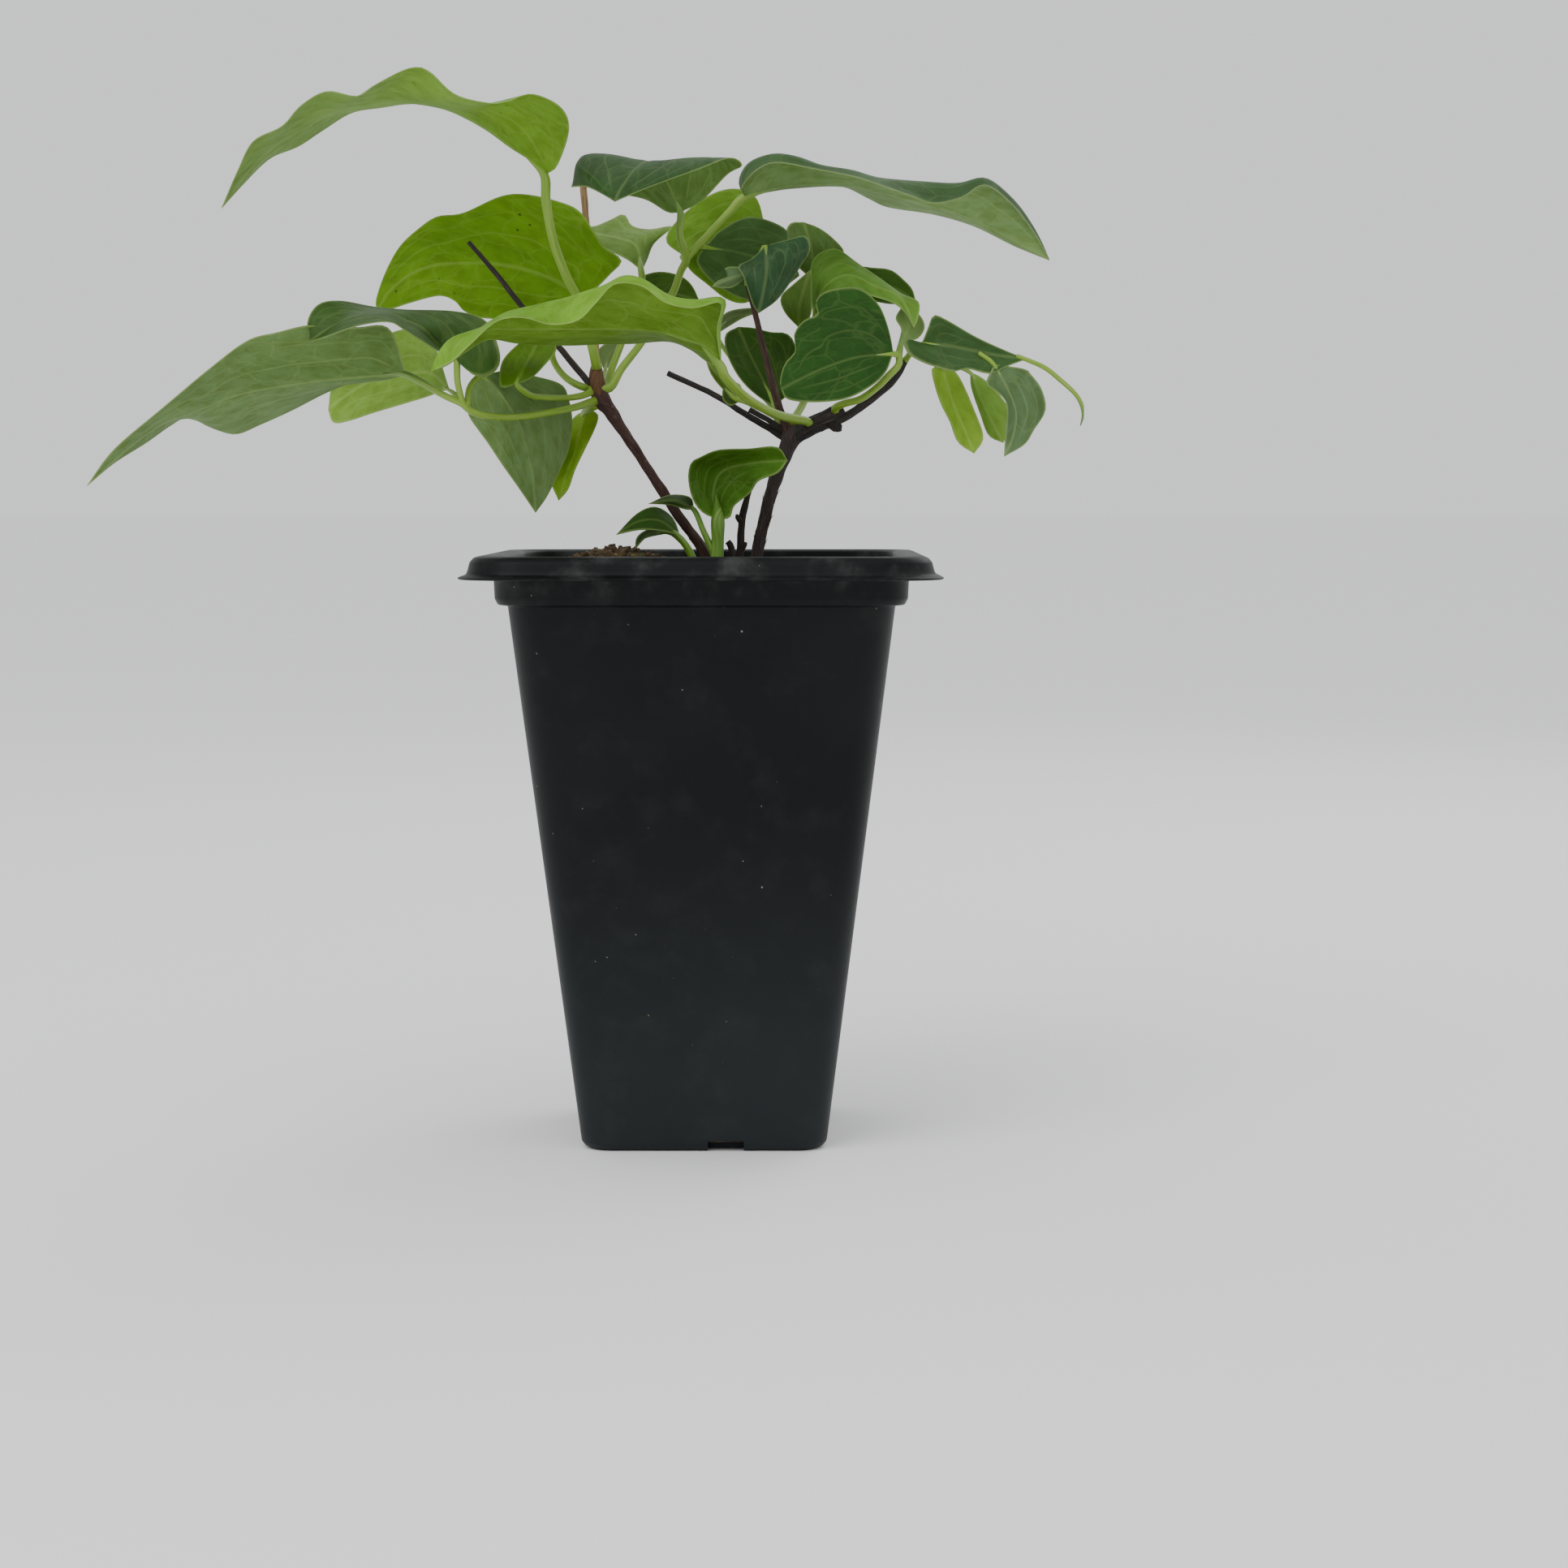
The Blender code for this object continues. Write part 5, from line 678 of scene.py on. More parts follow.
def grow_blade(skin, lines, midrib, upper, lower, flecks, number, tip, relief):
    """A thin leaf: veins sunk in its upper face and raised on its lower one. tip is the colour
    that it turns towards along its length, or nothing; relief is its share of the full veins."""
    lines = [[seen(*p) for p in line] for line in lines]
    length = max(sum((b - a).length for a, b in zip(line, line[1:])) for line in lines) / MM
    rows = max(18, min(84, round(length / ROW_LENGTH)))
    runs = [smooth_path(line, rows + 1) for line in lines]
    wide = max(sum((b - a).length for a, b in zip(row, row[1:])) for row in zip(*runs)) / MM
    columns = max(12, min(40, 2 * round(wide / COLUMN_WIDTH / 2)))
    grid = []
    for i in range(rows + 1):
        ends, row = with_ends([run[i] for run in runs]), []
        for j in range(columns + 1):
            at = j * (len(lines) - 1) / columns
            k = min(int(at), len(lines) - 2)
            row.append(between(*ends[k:k + 4], at - k))
        grid.append(row)
    rib = round(midrib * columns / (len(lines) - 1))
    along = [0.0]
    for a, b in zip(grid, grid[1:]):
        along.append(along[-1] + (b[rib] - a[rib]).length / MM)
    top, under = [], []
    for i, row in enumerate(grid):
        turned = TIP_SHARE * (i / rows) ** 1.5 if tip else 0.0
        over_tone = mixed(upper, tip or upper, turned)
        under_tone = mixed(lower, tip or lower, turned)
        before, after = grid[max(i - 1, 0)], grid[min(i + 1, rows)]
        side = grid[min(max(i, 1), rows - 1)]
        run = [0.0]
        for a, b in zip(row, row[1:]):
            run.append(run[-1] + (b - a).length / MM)
        ends = i in (0, rows)
        for level in (top, under):
            level.append([])
        ahead = (after[rib] - before[rib]).normalized()
        leans = [(place - row[rib]).dot(ahead) / MM for place in row]
        offs = [math.sqrt(max((r - run[rib]) ** 2 - lean ** 2, 0.0)) for r, lean in zip(run, leans)]
        for j in [rib] if ends else range(columns + 1):
            across = math.copysign(offs[j], j - rib)
            half = max(offs[0] if j < rib else offs[-1], 0.3)
            share = min(abs(run[j] - run[rib]) / max(run[rib] if j < rib else run[-1] - run[rib], 0.3), 1.0)
            facing = (side[min(j + 1, columns)] - side[max(j - 1, 0)]).cross(after[j] - before[j])
            facing.normalize()
            vein = RIB_HEIGHT * ridge(across, RIB_WIDTH)
            for place, strong in SIDE_VEINS:
                vein += SIDE_VEIN_HEIGHT * strong * ridge((share - place) * half, SIDE_VEIN_WIDTH)
            fullness = relief * min(1.0, half / FULL_HALF) ** 2
            vein *= fullness
            lay = (across, along[i] + leans[j], share)
            swell = noise.noise(Vector((across / 5.5, lay[1] / 8.0, number * 7.3))) * QUILT
            swell *= fullness * (1 - share ** 4)
            thick = MARGIN_THICK + (BLADE_THICK - MARGIN_THICK) * (1 - share ** 3) * min(1.0, half / 3)
            over = row[j] + facing * (thick / 2 - vein * 0.5 + swell) * MM
            below = row[j] - facing * (thick / 2 + vein - swell) * MM
            top[-1].append(skin.put(over, over_tone, lay, (half, 0.0, flecks)))
            under[-1].append(skin.put(below, under_tone, lay, (half, 1.0, flecks)))
    for level, flip in ((top, False), (under, True)):
        for near, far in zip(level, level[1:]):
            for j in range(columns):
                a, b = near[min(j, len(near) - 1)], near[min(j + 1, len(near) - 1)]
                c, d = far[min(j + 1, len(far) - 1)], far[min(j, len(far) - 1)]
                skin.face((a, b, c, d), 0, flip)
    for i in range(rows):
        for j, flip in ((0, False), (-1, True)):
            skin.face((top[i][j], top[i + 1][j], under[i + 1][j], under[i][j]), 0, flip)


def route_of(stem):
    """The stem's points in metres, each with its radius as the fourth value."""
    return [Vector((*seen(*p[:3]), p[3] * MM)) for p in stem]


def grow_stem(skin, stem, tone, slot, sides, relief, end=None, cut=False):
    """A tapered round stem with its own relief. end is the colour that it turns to over its last
    part, or only on its end face where it is cut."""
    route = route_of(stem)
    length = sum((b - a).length for a, b in zip(route, route[1:])) / MM
    count = max(len(stem), round(length / STEM_STEP) + 1)
    places = smooth_path(route, count)
    turn, rings, gone = None, [], 0.0
    for i, place in enumerate(places):
        ahead = (places[min(i + 1, count - 1)] - places[max(i - 1, 0)]).to_3d().normalized()
        turn = ahead.orthogonal() if turn is None else turn - ahead * turn.dot(ahead)
        turn.normalize()
        side = ahead.cross(turn)
        if i:
            gone += (place - places[i - 1]).to_3d().length / MM
        greening = max(0.0, gone / length - END_FROM) / (1 - END_FROM) if end and not cut else 0.0
        colour, ring = mixed(tone, end or tone, min(greening, 1.0)), []
        for k in range(sides):
            angle = math.tau * k / sides
            radius = place.w * (1.0 + relief(angle, gone))
            out = turn * math.cos(angle) + side * math.sin(angle)
            lay = (angle * place.w / MM, gone, 0.0)
            ring.append(skin.put(place.to_3d() + out * radius, colour, lay, (place.w / MM, 0, 0)))
        rings.append(ring)
    for near, far in zip(rings, rings[1:]):
        for k in range(sides):
            skin.face((near[k], near[(k + 1) % sides], far[(k + 1) % sides], far[k]), slot)
    for ring, place, flip in ((rings[0], places[0], True), (rings[-1], places[-1], False)):
        colour = linear(tone if flip else end or tone)
        last = [skin.put(Vector(skin.places[k]).lerp(place.to_3d(), 0.18), colour) for k in ring]
        middle = skin.put(place.to_3d(), colour)
        for k in range(sides):
            k_next = (k + 1) % sides
            skin.face((ring[k], ring[k_next], last[k_next], last[k]), slot, flip)
            skin.face((last[k], last[k_next], middle), slot, flip)


def stalk_relief(angle, along):
    """Faint ribs along a green leaf stalk."""
    return 0.05 * math.cos(3 * angle) + 0.04 * noise.noise(Vector((math.cos(angle), along / 4, 1)))


def bark_relief(angle, along):
    """Lengthwise ridges and lumps of stringy bark."""
    around = Vector((math.cos(angle) * 2.4, math.sin(angle) * 2.4, along / 7))
    lump = Vector((math.cos(angle), math.sin(angle), along / 2.2 + 31))
    return 0.20 * noise.noise(around) + 0.16 * noise.noise(lump)


def husk_relief(angle, along):
    """Deep fibrous folds of a dry sheath."""
    folds = Vector((math.cos(angle) * 3.6, math.sin(angle) * 3.6, along / 9))
    return 0.22 * noise.noise(folds) + 0.05


def add(tree, kind, inputs=None, **settings):
    """A node with its settings; each input is a value or the socket that feeds it."""
    made = tree.nodes.new(kind)
    for key, value in settings.items():
        setattr(made, key, value)
    for key, value in (inputs or {}).items():
        if isinstance(value, bpy.types.NodeSocket):
            tree.links.new(value, made.inputs[key])
        else:
            made.inputs[key].default_value = value
    return made


def maths(tree, operation, *values):
    """The result of one sum on values or sockets."""
    return add(tree, "ShaderNodeMath", dict(enumerate(values)), operation=operation).outputs[0]


def fade(tree, value, low, high, start=1.0, end=0.0):
    """start below low, end above high, and a soft step between."""
    levels = {"Value": value, "From Min": low, "From Max": high, "To Min": start, "To Max": end}
    return add(tree, "ShaderNodeMapRange", levels, interpolation_type="SMOOTHSTEP").outputs[0]


def blend(tree, share, a, b, kind="MIX"):
    """Colour a turned towards colour b by share."""
    mix = add(tree, "ShaderNodeMix", {0: share, 6: a, 7: b}, data_type="RGBA", blend_type=kind)
    return mix.outputs[2]


def cloud(tree, place, scale, detail=2.0, roughness=0.5):
    """Soft noise from 0 to 1 at a place."""
    inputs = {"Vector": place, "Scale": scale, "Detail": detail, "Roughness": roughness}
    return add(tree, "ShaderNodeTexNoise", inputs).outputs["Fac"]


def new_material(name):
    """An empty material with its shader: (material, tree, shader)."""
    material = bpy.data.materials.new(name)
    material.use_nodes = True
    return material, material.node_tree, material.node_tree.nodes["Principled BSDF"]


def feed(tree, shader, colour, roughness, height, depth_mm, strength):
    """Colour, roughness and relief into the shader."""
    tree.links.new(colour, shader.inputs["Base Color"])
    tree.links.new(roughness, shader.inputs["Roughness"])
    bump = add(tree, "ShaderNodeBump", {"Height": height, "Distance": depth_mm * MM,
                                        "Strength": strength})
    tree.links.new(bump.outputs["Normal"], shader.inputs["Normal"])


def clematis_leaf():
    """Downy leaf tissue: soft satin, pale curved veins and a fine net, a thin pale margin."""
    material, tree, shader = new_material("clematis_leaf")
    tone = add(tree, "ShaderNodeAttribute", attribute_name="tone").outputs["Color"]
    lay = add(tree, "ShaderNodeAttribute", attribute_name="lay").outputs["Vector"]
    make = add(tree, "ShaderNodeAttribute", attribute_name="make").outputs["Vector"]
    across, along, share = add(tree, "ShaderNodeSeparateXYZ", {0: lay}).outputs
    half, under, flecked = add(tree, "ShaderNodeSeparateXYZ", {0: make}).outputs
    swept = maths(tree, "SUBTRACT", along, maths(tree, "MULTIPLY", maths(tree, "ABSOLUTE", across), 0.7))
    flat = add(tree, "ShaderNodeCombineXYZ", {0: across, 1: maths(tree, "MULTIPLY", swept, 0.62)}).outputs[0]
    wander = cloud(tree, flat, 0.22, 2.0)
    wobble = maths(tree, "MULTIPLY", maths(tree, "SUBTRACT", wander, 0.5), 0.16)
    loose = maths(tree, "ADD", share, maths(tree, "MULTIPLY", wobble, share))
    veins = fade(tree, maths(tree, "MULTIPLY", share, half), 0.1, 0.55)
    for place, width, strong in ((0.40, 0.34, 0.7), (0.72, 0.28, 0.5)):
        off = maths(tree, "ABSOLUTE", maths(tree, "SUBTRACT", loose, place))
        line = fade(tree, maths(tree, "MULTIPLY", off, half), 0.08, width, strong)
        line = maths(tree, "MULTIPLY", line, fade(tree, half, 2.5, FULL_HALF, 0.0, 1.0))
        veins = maths(tree, "MAXIMUM", veins, line)
    jitter = add(tree, "ShaderNodeTexNoise", {"Vector": flat, "Scale": 0.5, "Detail": 1.0})
    shift = add(tree, "ShaderNodeVectorMath", {0: jitter.outputs["Color"], "Scale": 1.6}, operation="SCALE")
    bent = add(tree, "ShaderNodeVectorMath", {0: flat, 1: shift.outputs[0]}, operation="ADD")
    net = 0.0
    for cell_mm, width, strong in ((5.2, 0.060, 0.45), (2.1, 0.085, 0.15)):
        cells = add(tree, "ShaderNodeTexVoronoi", {"Vector": bent.outputs[0], "Scale": 1 / cell_mm},
                    feature="DISTANCE_TO_EDGE")
        net = maths(tree, "MAXIMUM", net, fade(tree, cells.outputs["Distance"], 0.0, width, strong))
    veins = maths(tree, "MAXIMUM", veins, maths(tree, "MULTIPLY", net, fade(tree, half, 2.5, 6.0, 0.0, 1.0)))
    mottle = cloud(tree, flat, 0.35, 3.0, 0.55)
    body = blend(tree, fade(tree, mottle, 0.35, 0.7, 0.0, 0.5), tone,
                 blend(tree, 1.0, tone, linear("#C8C46E"), "MULTIPLY"))
    broad = cloud(tree, flat, 0.06, 1.0)
    body = blend(tree, fade(tree, broad, 0.3, 0.7, 0.35, 0.0), body,
                 blend(tree, 1.0, body, linear("#9DAE8C"), "MULTIPLY"))
    pale = blend(tree, 0.45, tone, linear("#B9CC7C"))
    shown = maths(tree, "MULTIPLY", veins, fade(tree, under, 0.0, 1.0, 0.21, 0.32))
    body = blend(tree, shown, body, pale)
    rim = maths(tree, "MULTIPLY", maths(tree, "SUBTRACT", 1.0, share), half)
    body = blend(tree, fade(tree, rim, 0.1, 0.55, 0.3), body, linear("#A6BC6E"))
    dots = add(tree, "ShaderNodeTexVoronoi", {"Vector": lay, "Scale": 1 / 3.0}).outputs["Distance"]
    dots = maths(tree, "MULTIPLY", fade(tree, dots, 0.07, 0.13), fade(tree, broad, 0.45, 0.6, 0.0, 0.8))
    body = blend(tree, maths(tree, "MULTIPLY", dots, flecked), body, linear("#2C3A12"))
    rough = fade(tree, under, 0.0, 1.0, 0.5, 0.66)
    rough = maths(tree, "ADD", rough, maths(tree, "MULTIPLY", mottle, 0.1))
    height = maths(tree, "SUBTRACT", maths(tree, "MULTIPLY", mottle, 0.6), net)
    height = maths(tree, "MULTIPLY", height, fade(tree, half, 3.0, FULL_HALF, 0.0, 1.0))
    feed(tree, shader, body, rough, height, 0.2, 0.4)
    shader.inputs["Specular IOR Level"].default_value = 0.2
    return material


def leaf_stalk():
    """Green juicy stalk: fine pale streaks lengthwise, soft gloss."""
    material, tree, shader = new_material("leaf_stalk")
    tone = add(tree, "ShaderNodeAttribute", attribute_name="tone").outputs["Color"]
    lay = add(tree, "ShaderNodeAttribute", attribute_name="lay").outputs["Vector"]
    long_way = add(tree, "ShaderNodeMapping", {"Vector": lay, "Scale": (1.6, 0.12, 1)})
    streak = cloud(tree, long_way.outputs[0], 1.0, 3.0)
    body = blend(tree, fade(tree, streak, 0.45, 0.7, 0.0, 0.35), tone, linear("#A9BC66"))
    body = blend(tree, fade(tree, streak, 0.3, 0.45, 0.35, 0.0), body, linear("#4C6420"))
    rough = maths(tree, "ADD", 0.42, maths(tree, "MULTIPLY", streak, 0.2))
    feed(tree, shader, body, rough, streak, 0.15, 0.5)
    return material


def stringy_bark():
    """Old clematis bark: dark, dry and dull, in long fibres with pale dusty crests."""
    material, tree, shader = new_material("stringy_bark")
    tone = add(tree, "ShaderNodeAttribute", attribute_name="tone").outputs["Color"]
    lay = add(tree, "ShaderNodeAttribute", attribute_name="lay").outputs["Vector"]
    long_way = add(tree, "ShaderNodeMapping", {"Vector": lay, "Scale": (2.4, 0.16, 1)})
    fibre = cloud(tree, long_way.outputs[0], 1.0, 5.0, 0.65)
    patch = cloud(tree, lay, 0.45, 3.0, 0.6)
    body = blend(tree, fade(tree, fibre, 0.35, 0.5, 0.75, 0.0), tone, linear("#120E0D"))
    crest = blend(tree, 0.45, tone, linear("#8C7562"))
    body = blend(tree, fade(tree, fibre, 0.55, 0.72, 0.0, 0.85), body, crest)
    body = blend(tree, fade(tree, patch, 0.6, 0.75, 0.0, 0.35), body, linear("#7B6A58"))
    rough = maths(tree, "ADD", 0.7, maths(tree, "MULTIPLY", fibre, 0.3))
    feed(tree, shader, body, rough, fibre, 0.5, 0.9)
    return material


def nursery_plastic():
    """Moulded black polypropylene: low satin gloss, a painted reflection that lightens it towards the base,
    soil dust in the rim, a few dry specks.
    """
    material, tree, shader = new_material("nursery_plastic")
    place = add(tree, "ShaderNodeTexCoord").outputs["Object"]
    height = add(tree, "ShaderNodeSeparateXYZ", {0: place}).outputs[2]
    film = cloud(tree, place, 1 / (9 * MM), 4.0, 0.6)
    wipe = cloud(tree, place, 1 / (45 * MM), 2.0)
    body = blend(tree, fade(tree, wipe, 0.35, 0.7, 0.0, 1.0), linear("#090B0D"), linear("#0F1214"))
    # Painted reflection: the wall turns a lighter bluish grey towards its base and fades back to black
    # higher up.
    body = blend(tree, fade(tree, height, 5 * MM, 85 * MM, 0.75), body, linear("#23282A"))
    on_rim = fade(tree, height, 120 * MM, 129 * MM, 0.0, 1.0)
    dusty = maths(tree, "MULTIPLY", fade(tree, film, 0.45, 0.8, 0.0, 0.4),
                  maths(tree, "ADD", 0.12, maths(tree, "MULTIPLY", on_rim, 0.75)))
    body = blend(tree, dusty, body, linear("#5E625E"))
    for size_mm, reach, colour in ((3.4, 0.055, "#8C8064"), (7.5, 0.035, "#9A9C92")):
        spots = add(tree, "ShaderNodeTexVoronoi", {"Vector": place, "Scale": 1 / (size_mm * MM)})
        near = fade(tree, spots.outputs["Distance"], reach * 0.6, reach, 0.7)
        body = blend(tree, maths(tree, "MULTIPLY", near, fade(tree, film, 0.5, 0.6, 0.0, 1.0)),
                     body, linear(colour))
    rough = maths(tree, "ADD", 0.36, maths(tree, "MULTIPLY", film, 0.2))
    grain = cloud(tree, place, 1 / (0.9 * MM), 2.0)
    feed(tree, shader, body, rough, maths(tree, "ADD", maths(tree, "MULTIPLY", grain, 0.2), wipe), 0.25, 0.3)
    shader.inputs["Specular IOR Level"].default_value = 0.14
    return material


def earthy(name, dark, mid, light, grain_mm):
    """Dull crumbly matter in three browns or greens, grain_mm across."""
    material, tree, shader = new_material(name)
    place = add(tree, "ShaderNodeTexCoord").outputs["Object"]
    grain = cloud(tree, place, 1 / (grain_mm * MM), 5.0, 0.7)
    patch = cloud(tree, place, 1 / (grain_mm * 5 * MM), 3.0, 0.6)
    body = blend(tree, fade(tree, grain, 0.38, 0.6, 0.0, 1.0), linear(dark), linear(mid))
    body = blend(tree, fade(tree, patch, 0.5, 0.7, 0.0, 0.7), body, linear(light))
    rough = maths(tree, "ADD", 0.8, maths(tree, "MULTIPLY", grain, 0.2))
    feed(tree, shader, body, rough, grain, grain_mm * 0.5, 1.0)
    return material


def rounded_square(width, height, radius):
    """Places round a square with rounded corners, anticlockwise seen from above."""
    half, ring = width / 2, []
    for corner in range(4):
        side_x, side_y = ((1, 1), (-1, 1), (-1, -1), (1, -1))[corner]
        for k in range(CORNER_STEPS + 1):
            angle = math.radians(90 * (corner + k / CORNER_STEPS))
            ring.append(Vector((side_x * (half - radius) + radius * math.cos(angle),
                                side_y * (half - radius) + radius * math.sin(angle), height)) * MM)
        ahead = ((-1, 1), (-1, -1), (1, -1), (1, 1))[corner]
        end = Vector((ahead[0] * (half - radius), ahead[1] * (half - radius), height)) * MM
        start = ring[-1].copy()
        end += (ring[-1] - Vector((side_x * (half - radius), side_y * (half - radius), height)) * MM)
        ring += [start.lerp(end, k / SIDE_STEPS) for k in range(1, SIDE_STEPS)]
    return ring


def loft(name, rings):
    """A closed body through rings of equal count, with its two ends filled."""
    n, faces = len(rings[0]), []
    for i in range(len(rings) - 1):
        for k in range(n):
            a, b = i * n + k, i * n + (k + 1) % n
            faces.append((a, b, b + n, a + n))
    faces.append(tuple(range(n))[::-1])
    faces.append(tuple(range((len(rings) - 1) * n, len(rings) * n)))
    mesh = bpy.data.meshes.new(name)
    mesh.from_pydata([tuple(p) for ring in rings for p in ring], [], faces)
    thing = bpy.data.objects.new(name, mesh)
    bpy.context.scene.collection.objects.link(thing)
    return thing


def width_at(height):
    """Outer width of the tapering wall at a height."""
    return BASE_WIDTH + (WALL_TOP_WIDTH - BASE_WIDTH) * height / WALL_TOP


def corner_at(height):
    """Corner radius of the wall, which tightens towards the base."""
    return BASE_CORNER + (WALL_CORNER - BASE_CORNER) * height / WALL_TOP


def settle(thing):
    """The thing's modifiers applied to its mesh."""
    depsgraph = bpy.context.evaluated_depsgraph_get()
    mesh = bpy.data.meshes.new_from_object(thing.evaluated_get(depsgraph))
    thing.modifiers.clear()
    thing.data = mesh


def mould_pot():
    """Tapered wall, stepped collar, rolled rim and turned-out flange, with softened edges."""
    middle = WALL_TOP / 2
    profile = [
        (BASE_WIDTH - 3.0, 0, BASE_CORNER - 1.0),
        (width_at(0.7) - 0.9, 0.7, BASE_CORNER - 0.3),
        (width_at(1.6), 1.6, corner_at(1.6)),
        *[(width_at(z), z, corner_at(z)) for z in (3.2, 4.6, 8.0, 20.0)],
        (width_at(middle), middle, corner_at(middle)),
        (WALL_TOP_WIDTH, WALL_TOP, WALL_CORNER),
        (COLLAR_WIDTH - 1.8, WALL_TOP + 0.3, COLLAR_CORNER - 0.9),
        (COLLAR_WIDTH - 0.4, WALL_TOP + 1.6, COLLAR_CORNER - 0.2),
        (COLLAR_WIDTH, COLLAR_TOP, COLLAR_CORNER),
        (FLANGE_WIDTH - 0.6, COLLAR_TOP, FLANGE_CORNER - 0.3),
        (FLANGE_WIDTH, COLLAR_TOP + 0.45, FLANGE_CORNER),
        (ROLL_WIDTH + 0.8, COLLAR_TOP + 1.1, RIM_CORNER + 0.4),
        (ROLL_WIDTH, COLLAR_TOP + 2.1, RIM_CORNER),
        (ROLL_WIDTH - 0.8, POT_HEIGHT - 1.3, RIM_CORNER - 0.4),
        (ROLL_WIDTH - 2.6, POT_HEIGHT - 0.3, RIM_CORNER - 1.3),
        (ROLL_WIDTH - 4.8, POT_HEIGHT, RIM_CORNER - 2.4),
        (MOUTH_WIDTH + 3.0, POT_HEIGHT, COLLAR_CORNER),
        (MOUTH_WIDTH + 0.7, POT_HEIGHT - 0.5, WALL_CORNER),
        (MOUTH_WIDTH, POT_HEIGHT - 1.8, WALL_CORNER - 0.3),
        (MOUTH_WIDTH - 0.8, WALL_TOP + 2.0, WALL_CORNER - 0.6),
        (WALL_TOP_WIDTH - 2 * WALL, WALL_TOP - 0.6, WALL_CORNER - WALL),
        (width_at(middle) - 2 * WALL, middle, corner_at(middle) - WALL),
        (width_at(FLOOR) - 2 * WALL, FLOOR, corner_at(FLOOR) - WALL),
    ]
    pot = loft("nursery_pot", [rounded_square(*level) for level in profile])
    cuts = []
    for edge in (-BASE_WIDTH / 2, BASE_WIDTH / 2):
        for x, y in ((NOTCH_OFFSET, edge), (edge, -NOTCH_OFFSET)):
            cuts.append(loft("notch", [[Vector((x + sx * NOTCH_WIDTH / 2, y + sy * NOTCH_WIDTH / 2, z)) * MM
                                        for sx, sy in ((-1, -1), (1, -1), (1, 1), (-1, 1))]
                                       for z in (-1, NOTCH_HEIGHT)]))
    for x in (-DRAIN_FROM_AXIS, DRAIN_FROM_AXIS):
        for y in (-DRAIN_FROM_AXIS, DRAIN_FROM_AXIS):
            cuts.append(loft("drain", [[Vector((x + DRAIN_RADIUS * math.cos(math.tau * k / 32),
                                                y + DRAIN_RADIUS * math.sin(math.tau * k / 32), z)) * MM
                                        for k in range(32)] for z in (-1, FLOOR + 1)]))
    group = bpy.data.collections.new("drainage")
    for thing in cuts:
        group.objects.link(thing)
    soften = pot.modifiers.new("soften", "BEVEL")
    soften.width = 0.3 * MM
    soften.segments = 2
    soften.angle_limit = math.radians(20)
    drain = pot.modifiers.new("drain", "BOOLEAN")
    drain.operand_type = "COLLECTION"
    drain.collection = group
    drain.solver = "EXACT"
    settle(pot)
    for thing in cuts:
        bpy.data.objects.remove(thing)
    bpy.data.collections.remove(group)
    pot.data.materials.clear()
    pot.data.materials.append(nursery_plastic())
    pot.data.shade_smooth()
    pot.data.set_sharp_from_angle(angle=math.radians(35))
    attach(pot, "root")
    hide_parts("pot")
    return pot


def soil_height(x, y):
    """Height of the potting mix above its mean at a place, in millimetres."""
    a = math.sin(math.tau * x / CLOD_LENGTH + 0.7) * math.cos(math.tau * y / (CLOD_LENGTH * 1.2))
    b = math.sin(math.tau * (x + 0.8 * y) / (CLOD_LENGTH * 0.55) + 1.9)
    edge = max(abs(x), abs(y)) / (MOUTH_WIDTH / 2)
    away = ((x - HEAP_AT[0]) / HEAP_REACH[0]) ** 2 + ((y - HEAP_AT[1]) / HEAP_REACH[1]) ** 2
    aside = ((x - MOUND_AT[0]) / MOUND_REACH[0]) ** 2 + ((y - MOUND_AT[1]) / MOUND_REACH[1]) ** 2
    heaps = HEAP_HEIGHT * math.exp(-away) + MOUND_HEIGHT * math.exp(-aside)
    return CLOD_HEIGHT * (0.6 * a + 0.35 * b) * (1.0 - 0.5 * edge) + heaps


def fill_pot(material):
    """The plug of potting mix with its crumbly top."""
    inset = 2 * (WALL + GAP) + 0.2
    rings = [rounded_square(width_at(z) - inset, z, corner_at(z) - WALL)
             for z in (FLOOR + GAP, WALL_TOP / 2, WALL_TOP - 1.4)]
    rings.append(rounded_square(WALL_TOP_WIDTH - inset, MIX_TOP - 1.2, WALL_CORNER - WALL))
    for k in range(1, MIX_RINGS):
        share, ring = 1.0 - k / MIX_RINGS, []
        for rim in rings[3]:
            x, y = rim.x / MM * share, rim.y / MM * share
            crumb = 0.9 * noise.noise(Vector((x, y, 0)) / 2.6) + 0.5 * noise.noise(Vector((x, y, 9)) / 1.1)
            ring.append(Vector((x, y, MIX_TOP + soil_height(x, y) + crumb)) * MM)
        rings.append(ring)
    mix = loft("potting_mix_fill", rings)
    mix.data.materials.append(material)
    mix.data.shade_smooth()
    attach(mix, "root")
    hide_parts("potting_mix")
    return mix


